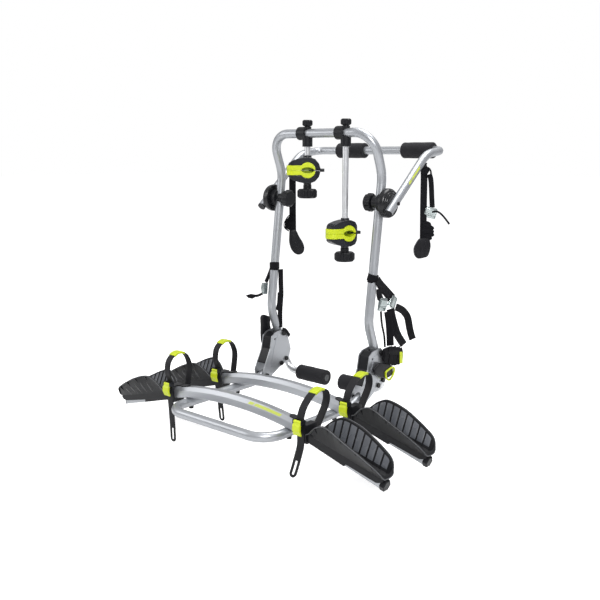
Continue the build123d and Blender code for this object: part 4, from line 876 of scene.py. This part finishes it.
hangingRight = {
    "webs": [
        ([(0, 2, 3.6), (3, -36, 2.6), (4, -120, 2.2), (5, -190, 2.0), (6, -238, 2.0)], True, 21.5, 1.8),
        ([(0, 2, -3.6), (2, -30, -2.0), (3, -120, -1.6), (5, -236, -1.4)], True, 20.5, 1.8),
    ],
    "strand": ([(20, -24, 2), (25, -42, 3), (28, -70, 3), (30, -98, 2), (33, -134, 1)], 17.0, 2.4),
    "knot": [(-12, 0), (-4, 9), (8, 0), (22, -8), (12, -26), (-6, -26)],
    "folds": [(2, -180, 30, 18), (0, -192, 42, 17), (2, -204, 40, 16), (0, -214, 43, 17),
              (0, -226, 36, 16)],
    "tail": ([(32, -148, 6), (46, -146, 6), (56, -150, 5), (66, -158, 3), (78, -171, 1), (92, -189, -1)],
             6.5, 1.6),
    "ring": ([(4, -2, 4), (15, -3, 5), (23, -13, 5), (24, -26, 4), (17, -34, 3), (9, -30, 4)],
             False, 12, 4.2),
    "hook": [(-6, -236), (26, -236), (31, -259), (28, -280), (22, -297), (-3, -304), (-16, -303),
             (-24, -289), (-25, -269), (-16, -250)],
    "hookThickness": 20, "hookSoft": 6.5,
    "ribs": [((-14, -256), (-15, -296)), ((0, -246), (-2, -299)), ((14, -244), (12, -298))], "ribHalf": 2,
}


def foldedTape(plane, folds):  # a stack of flat folds, each given by its corner, width and height
    pieces = []
    for k, (r, z, w, h) in enumerate(folds):
        outline = [(r, z), (r + w * 0.6, z + 2), (r + w, z - h * 0.35), (r + w - 3, z - h), (r, z - h + 2)]
        pieces.append(slab("fold", outline, plane, -6 + k % 2, 7.5 - 1.5 * (k % 2), 4.0, 80))
    return pieces


def hangingStrapRight():
    look = hangingRight
    webs = [planeBand("web", rightPlane, *web) for web in look["webs"]]
    webs.append(flatBand("strand", rightPlane, *look["strand"], 40))
    webs.append(slab("knot", look["knot"], rightPlane, -6, 9, 5.0, 30))
    webs += foldedTape(rightPlane, look["folds"])
    webs.append(flatBand("tail", rightPlane, *look["tail"]))
    webs.append(planeBand("ring", rightPlane, *look["ring"]))
    web = joinPieces(webs)
    finishPiece(web, "hangingWebRight", "hanging_strap_right", "webbing", webbing, ["upper_strap_right"], 40)
    pieces = [coatedHook("hook", rightPlane, look["hook"], look["hookThickness"], look["hookSoft"])]
    half = look["ribHalf"]
    for (r0, z0), (r1, z1) in look["ribs"]:
        outline = [(r0 - half, z0), (r0 + half, z0), (r1 + half, z1), (r1 - half, z1)]
        pieces.append(slab("rib", outline, rightPlane, 8.5, 11.4, 1.3))
    hook = joinPieces(pieces)
    finishPiece(hook, "coatedHookRight", "hanging_strap_right", "black_plastic", black["hookCoat"], (), 50)


hangingStrapLeft()
hangingStrapRight()
print("hanging straps are done")


# straps beside the uprights

def sidePlane(x):  # outlines are (y, z); outward is +X
    return placedPlane((x, 0, 0), (0, 1, 0), (0, 0, 1))


def sideBand(name, x, points, width, thickness, count, facing=(0.0, 0.0)):
    # facing turns the strap's flat side from outward to the front, at its start and its end
    line = smoothLine([Vector((x + sum(out), y, z)) * mm for y, z, *out in points], count)
    across = []
    for k in range(len(line)):
        run = runAt(line, k)
        share = facing[0] + (facing[1] - facing[0]) * k / count
        flat, front = Vector((1, 0, 0)).cross(run), (-lookDir).cross(run)
        across.append((flat * (1 - share) + front * share).normalized())
    return band(name, line, across, width * mm, thickness * mm)


# an upright's straight length, and the tape wrapped round it
upright = {"x": 215, "lowY": -88.5, "lowZ": 245, "run": 62.5, "rise": 479}
wrap = {"z": 393, "radius": 16.0, "half": 12, "step": 1.6, "thickness": 1.6, "lean": 0.13}


def uprightWrap(sideSign, tiltDegrees):  # two turns of tape round an upright, the second a little tilted
    x = sideSign * upright["x"]
    y = upright["lowY"] + upright["run"] * (wrap["z"] - upright["lowZ"]) / upright["rise"]
    turns = []

    def uvAt(point, _):
        angle = math.atan2(point.y - y * mm, point.x - x * mm)
        return angle * (wrap["radius"] + 1) * mm, point.z

    for k in range(2):
        radius = wrap["radius"] + wrap["step"] * k
        profile = [(-wrap["half"] + 2 * k, radius), (wrap["half"] + k, radius)]
        tilt = math.radians(tiltDegrees + 4 * k)
        axis = (math.sin(tilt) * sideSign, wrap["lean"], math.cos(tilt))
        ring = lathe("wrap", profile, (x, y, wrap["z"] + 3 * k), axis, 44)
        thicken(ring, wrap["thickness"] * mm, -1)
        writeUV(ring, uvAt)
        turns.append(ring)
    return joinPieces(turns)


# outlines are (Y, Z), and the middle lines of webs are (Y, Z) or (Y, Z, outward), all in mm
sideRight = {
    "wrapTilt": 8,
    "webs": [
        {"x": 235, "points": [(-70, 393), (-50, 374), (-18, 349), (18, 321)],
         "width": 27.0, "thickness": 2.2, "count": 40, "facing": (0.0, 0.85)},
        {"x": 232, "points": [(-66, 386), (-44, 364), (-14, 341), (12, 318)],
         "width": 25.0, "thickness": 2.0, "count": 40, "facing": (0.0, 0.8)},
        {"x": 234, "points": [(-60, 362), (-58, 344), (-50, 326)],
         "width": 22.0, "thickness": 3.0, "count": 20, "facing": (0.2, 0.6)},
        {"x": 237,
         "points": [(36, 288), (60, 279), (84, 266), (110, 241), (124, 204), (134, 180), (147, 157)],
         "width": 25.0, "thickness": 1.8, "count": 60, "facing": (0.9, 0.9)},
        {"x": 236, "points": [(6, 286), (14, 262), (22, 244), (46, 198), (70, 170), (92, 148)],
         "width": 27.0, "thickness": 2.2, "count": 50, "facing": (0.9, 0.9)},
        {"x": 232, "points": [(-4, 278), (6, 240), (12, 200), (16, 158)],
         "width": 25.0, "thickness": 2.2, "count": 40, "facing": (0.8, 0.8)},
        {"x": 235, "points": [(-48, 286), (-41, 244), (-26, 200), (-20, 160)],
         "width": 7.0, "thickness": 1.6, "count": 30, "facing": (0.9, 0.9)},
    ],
    "bundleX": 245,
    "bundle": [(-50, 162), (-10, 164), (40, 152), (58, 138), (58, 96), (22, 90), (-30, 106), (-50, 124)],
    "folds": [(-38, 160, 114, 7.5), (-14, 164, 102, 9.5), (10, 160, 94, 8.0), (34, 154, 92, 9.0),
              (50, 146, 94, 7.0)],
    "belt": [(-30, 150, 10.5), (4, 142, 12), (44, 130, 10)],
    "hook": [(-108, 106), (-76, 122), (-30, 108), (4, 94), (2, 66), (-22, 58), (-60, 66), (-100, 86)],
    "tag": [(36, 137), (53, 134), (55, 93), (38, 96)],
    "ring": [(-46, 84), (-12, 92), (4, 86), (-2, 66), (-24, 53), (-43, 66), (-46, 84)],
    "ringOut": 12.5, "ringRadius": 3.4,
}


def upFold(x, y, top, bottom, out):  # one upright fold of the tied-up tape, bulging outward
    middle = (top + bottom) / 2
    run = [(y - 2, top, out - 2), (y + 1, middle + 10, out + 1), (y + 2, middle - 8, out),
           (y - 1, bottom, out - 2)]
    return sideBand("fold", x, run, 20.0, 2.2, 24, (0.1, 0.2))


def sideStrapsRight():
    look, x = sideRight, sideRight["bundleX"]
    web = joinPieces([uprightWrap(1, look["wrapTilt"])] + [sideBand("web", **web) for web in look["webs"]])
    finishPiece(web, "sideWebRight", "main_frame", "webbing", webbing, ["side_strap_right"], 40)
    folds = [slab("bundle", look["bundle"], sidePlane(x), 0, 6, 3.0, 20)]
    folds += [upFold(x, *fold) for fold in look["folds"]]
    folds.append(sideBand("belt", x, look["belt"], 16.0, 2.0, 24))
    bundle = joinPieces(folds)
    finishPiece(bundle, "lowerWebRight", "main_frame", "webbing", webbing, ["lower_strap_right"], 40)
    hook = slab("hook", look["hook"], sidePlane(x), 0, 10.5, 5.0)
    finishPiece(hook, "lowerHookRight", "main_frame", "black_plastic", black["hookCoat"], (), 50)
    tag = slab("tag", look["tag"], sidePlane(x), 10.6, 13.6, 1.2)
    finishPiece(tag, "limeTagRight", "main_frame", "lime_plastic", lime)
    ringLine = smoothLine([Vector((x + look["ringOut"], y, z)) * mm for y, z in look["ring"]], 60)
    ring = bead("ring", ringLine[:-1], look["ringRadius"], True)
    finishPiece(ring, "limeRingRight", "main_frame", "lime_plastic", lime, (), 50)


sideLeft = {
    "wrapTilt": 3,
    "webs": [
        {"x": -233, "points": [(-66, 386), (-80, 362), (-96, 338)],
         "width": 17.0, "thickness": 1.8, "count": 20},
        {"x": -233, "points": [(-104, 303), (-120, 298), (-142, 295), (-160, 298)],
         "width": 9.0, "thickness": 1.8, "count": 30, "facing": (0.6, 0.6)},
        {"x": -199, "points": [(-54, 384), (-53, 330), (-52, 290), (-58, 232), (-58, 170)],
         "width": 18.0, "thickness": 2.2, "count": 50, "facing": (0.6, 0.6)},
        {"x": -201, "points": [(-58, 300), (-62, 260), (-72, 236)],
         "width": 15.0, "thickness": 2.2, "count": 20, "facing": (0.6, 0.6)},
        {"x": -187, "points": [(-60, 166), (-44, 160), (-30, 146), (-20, 134)],
         "width": 13.0, "thickness": 1.8, "count": 20},
    ],
    "leafX": -233, "leaf": [(-150, 300), (-172, 306), (-199, 304), (-186, 293), (-168, 288), (-152, 291)],
    "hookX": -250.6,
    "hook": [(-98, 219), (-110, 212), (-108, 185), (-109, 150), (-108, 122), (-98, 102), (-85, 108),
             (-64, 133), (-62, 155), (-68, 178), (-66, 206)],
    "tag": [(-84, 150), (-66, 158), (-66, 142), (-76, 124), (-86, 128)],
    "foldX": -251, "folds": (-98, -86),
}


def sideStrapsLeft():
    look = sideLeft
    pieces = [uprightWrap(-1, look["wrapTilt"])] + [sideBand("web", **web) for web in look["webs"]]
    pieces.append(slab("leaf", look["leaf"], sidePlane(look["leafX"]), -1.4, 1.4, 0.8, 40))
    web = joinPieces(pieces)
    finishPiece(web, "sideWebLeft", "main_frame", "webbing", webbing, ["side_strap_left"], 40)
    pieces = [slab("hook", look["hook"], sidePlane(look["hookX"]), 0, 11.2, 5.0)]
    for y in look["folds"]:
        run = [(y, 206), (y + 2, 180), (y, 150), (y + 4, 124)]
        pieces.append(sideBand("fold", look["foldX"], run, 10.0, 2.0, 30))
    hook = joinPieces(pieces)
    coat = black["hookCoat"]
    finishPiece(hook, "lowerHookLeft", "main_frame", "black_plastic", coat, ["lower_strap_left"], 45)
    tag = slab("tag", look["tag"], sidePlane(look["hookX"]), -1.2, 3, 2.0)
    finishPiece(tag, "limeTagLeft", "main_frame", "lime_plastic", lime)


sideStrapsRight()
sideStrapsLeft()
print("side straps are done")


# cam buckles

cams = {  # place, directions across and along, and the width, length and depth of each
    "upper": {"place": (28, -151, -5), "turn": -14, "size": (40, 36, 12)},
    "side": [
        ((230.2, 24, 305), (0, 0.50, 0.86), (0, -0.87, 0.5), (40, 44, 11.6)),
        ((230.2, -38, 307), (0, 1, -0.2), (0, 0.2, 1), (40, 44, 11.6)),
        ((-230.2, -102, 316), (0, -1, 0.1), (0, 0.1, 1), (25, 40, 11.6)),
    ],
    "base": 1.8, "cheek": 1.6, "rollerRibs": 12, "barRadius": 1.4,
}


def camBuckle(place, width, length, deep):
    # a pressed base with two cheeks, a ribbed roller and its thumb lever; X across, Y along, Z outward
    w, l = width / 2, length / 2
    origin = place.translation / mm
    across, along, out = (place.to_3x3().col[i].copy() for i in range(3))
    cheek, ribs, barRadius = cams["cheek"] / 2, cams["rollerRibs"], cams["barRadius"]
    pieces = [slab("base", [(-w, -l), (w, -l), (w, l), (-w, l)], place, 0, cams["base"], 0.8)]
    cheekPlane = placedPlane(origin, along, out)
    outline = [(-l, 0.4), (l, 0.4), (l * 0.75, deep * 0.7), (l * 0.1, deep * 0.92),
               (-l * 0.85, deep * 0.45)]
    for side in (-1, 1):
        edge = side * (w - 0.9)
        pieces.append(slab("cheek", outline, cheekPlane, edge - cheek, edge + cheek, 0.5))
    profile = [(-w + 1.5, 0)]
    for k in range(ribs + 1):
        step = -w + 2.2 + (2 * w - 4.4) * k / ribs
        profile.append((step, deep * (0.30 if k % 2 else 0.36)))
    profile.append((w - 1.5, 0))
    pieces.append(lathe("roller", profile, origin + along * (-l * 0.35) + out * (deep * 0.42), across, 24))
    lever = [(-0.5, 0.5), (-0.1, 0.84), (0.62, 0.98), (1.02, 0.72), (0.98, 0.56), (0.5, 0.78), (0, 0.62),
             (-0.4, 0.34)]
    lever = [(l * a, deep * b) for a, b in lever]
    pieces.append(slab("lever", lever, cheekPlane, -w + 2.6, w - 2.6, 0.5))
    profile = [(-w + 0.5, 0), (-w + 0.5, barRadius), (w - 0.5, barRadius), (w - 0.5, 0)]
    pieces.append(lathe("bar", profile, origin + along * (l * 0.84) + out * 3.2, across, 16))
    return joinPieces(pieces)


def camPieces():
    upper = cams["upper"]
    turned = Matrix.Rotation(math.radians(upper["turn"]), 4, "Z")
    place = rightPlane @ Matrix.Translation(Vector(upper["place"]) * mm) @ turned
    cam = camBuckle(place, *upper["size"])
    finishPiece(cam, "upperCamPressed", "hanging_strap_right", "zinc_plate", zinc, ["upper_cam_buckle"], 40)
    side = [camBuckle(placedPlane(*where), *size) for *where, size in cams["side"]]
    side = joinPieces(side)
    finishPiece(side, "sideCamsPressed", "main_frame", "zinc_plate", zinc, ["side_cam_buckles"], 40)


camPieces()
print("cam buckles are done")


# claws, clamps, knobs and hubs with their moulded edges

def moulded(node, body, slotName, material, voxel, rounds):
    piece = softened(node + "Moulded", node, voxel * mm, rounds)
    finishPiece(piece, node + "Moulded", body, slotName, material, [node], 60)


mouldings = [  # node, body, slot, finish, voxel in mm, smoothing rounds
    ("claw_shell_", "claw_", "black_plastic", black["clawMoulding"], 1.0, 9),
    ("claw_jaw_", "jaw_", "black_plastic", black["clawMoulding"], 1.0, 7),
    ("claw_liner_upper_", "claw_", "lime_plastic", lime, 0.8, 3),
    ("claw_liner_lower_", "jaw_", "lime_plastic", lime, 0.8, 3),
    ("claw_knob_", "claw_knob_", "black_plastic", black["blackMoulding"], 0.9, 4),
    ("clamp_", "holder_", "black_plastic", black["blackMoulding"], 0.9, 5),
    ("clamp_knob_", "clamp_knob_", "black_plastic", black["blackMoulding"], 0.8, 3),
    ("hub_knob_", "hub_knob_", "black_plastic", black["blackMoulding"], 0.9, 4),
]
for side in ("left", "right"):
    for node, body, *rest in mouldings:
        moulded(node + side, body + side, *rest)
moulded("hub_bases", "main_frame", "black_plastic", black["blackMoulding"], 1.0, 6)
print("claws, clamps and knobs are moulded")

claw = {  # X, drop below the bar and turn about Z of each claw, then the bar and the eye, in mm
    "left": (-54, 121, 40), "right": (107, 322, 71), "barY": -78, "barZ": 858,
    "ring": 1, "eyeWide": 22, "eyeHigh": 11, "eyeHalfDepth": 3.0, "parting": 0.25,
}


def clawPlane(side):
    x, drop, yaw = claw[side]
    t = math.radians(yaw)
    return placedPlane((x, claw["barY"], claw["barZ"] - drop), (math.cos(t), math.sin(t), 0), (0, 0, 1))


def clawInside(side):  # soft lining that closes the eye, its darker lime a painted shade on the liner's inner face, split at the parting line
    plane, deep = clawPlane(side), claw["eyeHalfDepth"]
    for name, sign, body in (("Upper", 1, "claw_"), ("Lower", -1, "jaw_")):
        outline = []
        for k in range(13):
            t = math.pi * k / 12
            height = claw["eyeHigh"] * math.sin(t) + claw["parting"]
            outline.append((claw["ring"] + claw["eyeWide"] * math.cos(t), sign * height))
        piece = slab("eye", outline, plane, -deep, deep, 0.6)
        label = "clawEye" + name + side.capitalize()
        finishPiece(piece, label, body + side, "lime_plastic", limePaintedShadeLining, (), 40)


clawInside("left")
clawInside("right")

hub = {  # the disc's profile is (outward, inset from its radius) in mm
    "y": -37.39, "z": 636.7, "inner": 237.3, "radius": 47,
    "profile": [(0, 3), (2.5, 0), (13, 0), (18, 1.6), (21.5, 4.4), (23.2, 7.5), (22.2, 8.6), (22.2, 10.2),
                (23.6, 11.2), (25.0, 15), (24.1, 16), (24.1, 17.5), (25.4, 18.5), (26.3, 27), (26.7, 36),
                (26.7, 47)],
}


def hubDisc(sideSign):
    profile = [(0, 0)] + [(out, hub["radius"] - inset) for out, inset in hub["profile"]]
    halved = []
    for (a0, r0), (a1, r1) in zip(profile, profile[1:]):
        halved += [(a0, r0), ((a0 + a1) / 2, (r0 + r1) / 2)]
    halved.append(profile[-1])
    halved = [(sideSign * a, r) for a, r in halved]
    return lathe("disc", halved, (sideSign * hub["inner"], hub["y"], hub["z"]), (1, 0, 0), 72)


discs = joinPieces([hubDisc(1), hubDisc(-1)])
finishPiece(discs, "hubDiscsDomed", "arm", "black_plastic", black["hubMoulding"], ["arm_discs"], 28)
print("hubs are done")


# tray trim: lip, inner panels and leaf recesses

trayTrim = {  # the rim is (X from the tube's end, half width, Z), the floor (X, Z), in mm
    "tubeEnd": 290, "lip": 4, "lipRadius": 1.7, "baseHalf": 21, "innerStep": 3.4,
    "rim": [(13, 30, 10), (28, 35, 17), (42, 40, 30), (56, 44, 42), (70, 47, 50), (86, 50, 56),
            (102, 52, 55.5), (120, 54, 51), (140, 57, 43.5), (160, 58, 35), (185, 56.5, 22.5),
            (210, 54, 9.5), (232, 51, -3), (250, 48, -14), (263, 42, -25), (271, 33, -38), (277, 19, -54)],
    "floor": [(13, 8), (281, -58)], "ribs": (70, 258, 9), "ribHalf": 2.6, "panelRise": 1.2,
    "leaves": {"count": 5, "first": 92, "step": 30, "slant": 15, "width": 13, "reach": 0.62, "rise": 0.9},
}


def onLine(points, x, column=1):
    for p, q in zip(points, points[1:]):
        if x <= q[0]:
            return p[column] + (q[column] - p[column]) * (x - p[0]) / (q[0] - p[0])
    return points[-1][column]


def wallHalf(x, z):
    half, top = onLine(trayTrim["rim"], x), onLine(trayTrim["rim"], x, 2)
    bottom = onLine(trayTrim["floor"], x)
    base = min(trayTrim["baseHalf"], half - trayTrim["lip"])
    return base + (half - trayTrim["lip"] - base) * (z - bottom) / (top - bottom)


def wallPatch(sideSign, y, wallSide, inner, shape, rise, columns=8, rows=10):
    def placeAt(i, j):
        s, t = i / columns, j / rows
        x, z = shape(s, t)
        crown = (1 - (2 * s - 1) ** 4) * (1 - (2 * t - 1) ** 6)
        proud = 0.15 - trayTrim["innerStep"] - rise * crown if inner else rise * crown - 0.1
        off = wallHalf(x, z) + proud
        return Vector((sideSign * (trayTrim["tubeEnd"] + x), y + wallSide * off, z))

    return gridSheet("patch", columns, rows, placeAt, 0.4, -1)


def trayLip(sideSign, y):  # round bead over both rims, in one run; its lighter grey is a painted highlight along the rim edges
    def rimSide(wallSide):
        return [Vector((sideSign * (trayTrim["tubeEnd"] + x), y + wallSide * (half - 1.0), top - 0.6)) * mm
                for x, half, top in trayTrim["rim"]]

    return bead("lip", smoothLine(rimSide(-1) + rimSide(1)[::-1], 150), trayTrim["lipRadius"])


def trayPanels(sideSign, y):  # the smooth fields between the ribs inside the far wall, in a lighter grey that is painted reflection
    first, last, count = trayTrim["ribs"]
    step, edge = (last - first) / (count - 1), trayTrim["ribHalf"]
    patches = []
    for k in range(-1, count - 1):
        x0, x1 = first + step * k + edge, first + step * (k + 1) - edge

        def shape(s, t):
            x = x0 + (x1 - x0) * s
            low, high = onLine(trayTrim["floor"], x) + 7, onLine(trayTrim["rim"], x, 2) - 5
            return x, low + (high - low) * t

        patches.append(wallPatch(sideSign, y, 1, True, shape, trayTrim["panelRise"]))
    return joinPieces(patches)


def trayLeaves(sideSign, y):  # slanted leaf shapes pressed in the outer wall
    leaf = trayTrim["leaves"]
    patches = []
    for k in range(leaf["count"]):
        x0 = leaf["first"] + leaf["step"] * k
        reach = leaf["reach"] * (onLine(trayTrim["rim"], x0, 2) - onLine(trayTrim["floor"], x0))

        def shape(s, t):
            swell = math.sin(math.pi * min(max(t, 0.02), 0.98)) ** 0.7
            x = x0 + leaf["slant"] * t + (s - 0.5) * leaf["width"] * swell
            z = onLine(trayTrim["floor"], x) + 4 + reach * t
            return x, min(z, onLine(trayTrim["rim"], x, 2) - 5)

        patches.append(wallPatch(sideSign, y, -1, False, shape, leaf["rise"]))
    return joinPieces(patches)


def trimTray(row, side):
    y, sign = wheelStrap["rows"][row], -1 if side == "left" else 1
    trims = [("trayLip", trayLip, "trayLipPaintedHighlight"), ("trayPanels", trayPanels, "trayPanelPaintedReflection")]
    if side == "left":
        trims.append(("trayLeaves", trayLeaves, "hubMoulding"))
    for name, make, look in trims:
        label = name + row.capitalize() + side.capitalize()
        finishPiece(make(sign, y), label, "tray_" + row + "_" + side, "black_plastic", black[look], (), 60)


for row in wheelStrap["rows"]:
    for side in ("left", "right"):
        trimTray(row, side)
print("tray trim is done")


# plain lime marks on the arm and the front cross tube

mark = {
    "armDashes": ((86, 104), (109, 166)), "armSides": (10, 37), "armRadius": 14.15, "armSlant": 1.2,
    "tubeDashes": ((62, 82), (87, 192)), "tubeSlant": 2.2, "archRadius": 1330,
    "archRise": 18, "bevelLow": (-496.5, 6), "bevelHigh": (-488.5, 18), "bevelShare": (0.12, 0.74),
    "proud": 0.15, "thickness": 0.25,
}


def armMark():  # two slanted dashes along the camera side of the right arm
    direction, side = Vector((0, 1, upperStrap["rise"])).normalized(), Vector((1, 0, 0))
    up = side.cross(direction).normalized()
    start = Vector((upperStrap["armX"], *upperStrap["hub"]))
    first, last = mark["armSides"]
    pieces = []
    for low, high in mark["armDashes"]:
        def placeAt(i, j):
            angle = math.radians(first + (last - first) * j / 6)
            run = low + (high - low) * i / 12 + (j - 3) * mark["armSlant"]
            radial = side * math.cos(angle) + up * math.sin(angle)
            return start + direction * run + radial * mark["armRadius"]

        pieces.append(gridSheet("mark", 12, 6, placeAt, mark["thickness"], 0))
    finishPiece(joinPieces(pieces), "armMark", "arm", "lime_plastic", limePrint, (), 60)


def tubeMark():  # on the bevel between the tube's top and its front
    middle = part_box("cross_tube_front")[1][2] / mm - mark["archRise"]
    (y0, z0), (y1, z1) = mark["bevelLow"], mark["bevelHigh"]
    outward = Vector((0, z0 - z1, y1 - y0)).normalized() * mark["proud"]
    shareLow, shareHigh = mark["bevelShare"]
    pieces = []
    for x0, x1 in mark["tubeDashes"]:
        def placeAt(i, j):
            x = x0 + (x1 - x0) * i / 12 + j * mark["tubeSlant"]
            share = shareLow + (shareHigh - shareLow) * j / 3
            drop = mark["archRadius"] - math.sqrt(mark["archRadius"] ** 2 - x ** 2)
            return Vector((x, y0 + (y1 - y0) * share, middle - drop + z0 + (z1 - z0) * share)) + outward

        pieces.append(gridSheet("mark", 12, 3, placeAt, mark["thickness"], 0))
    finishPiece(joinPieces(pieces), "crossTubeMark", "platform", "lime_plastic", limePrint, (), 60)


armMark()
tubeMark()
print("marks are done")
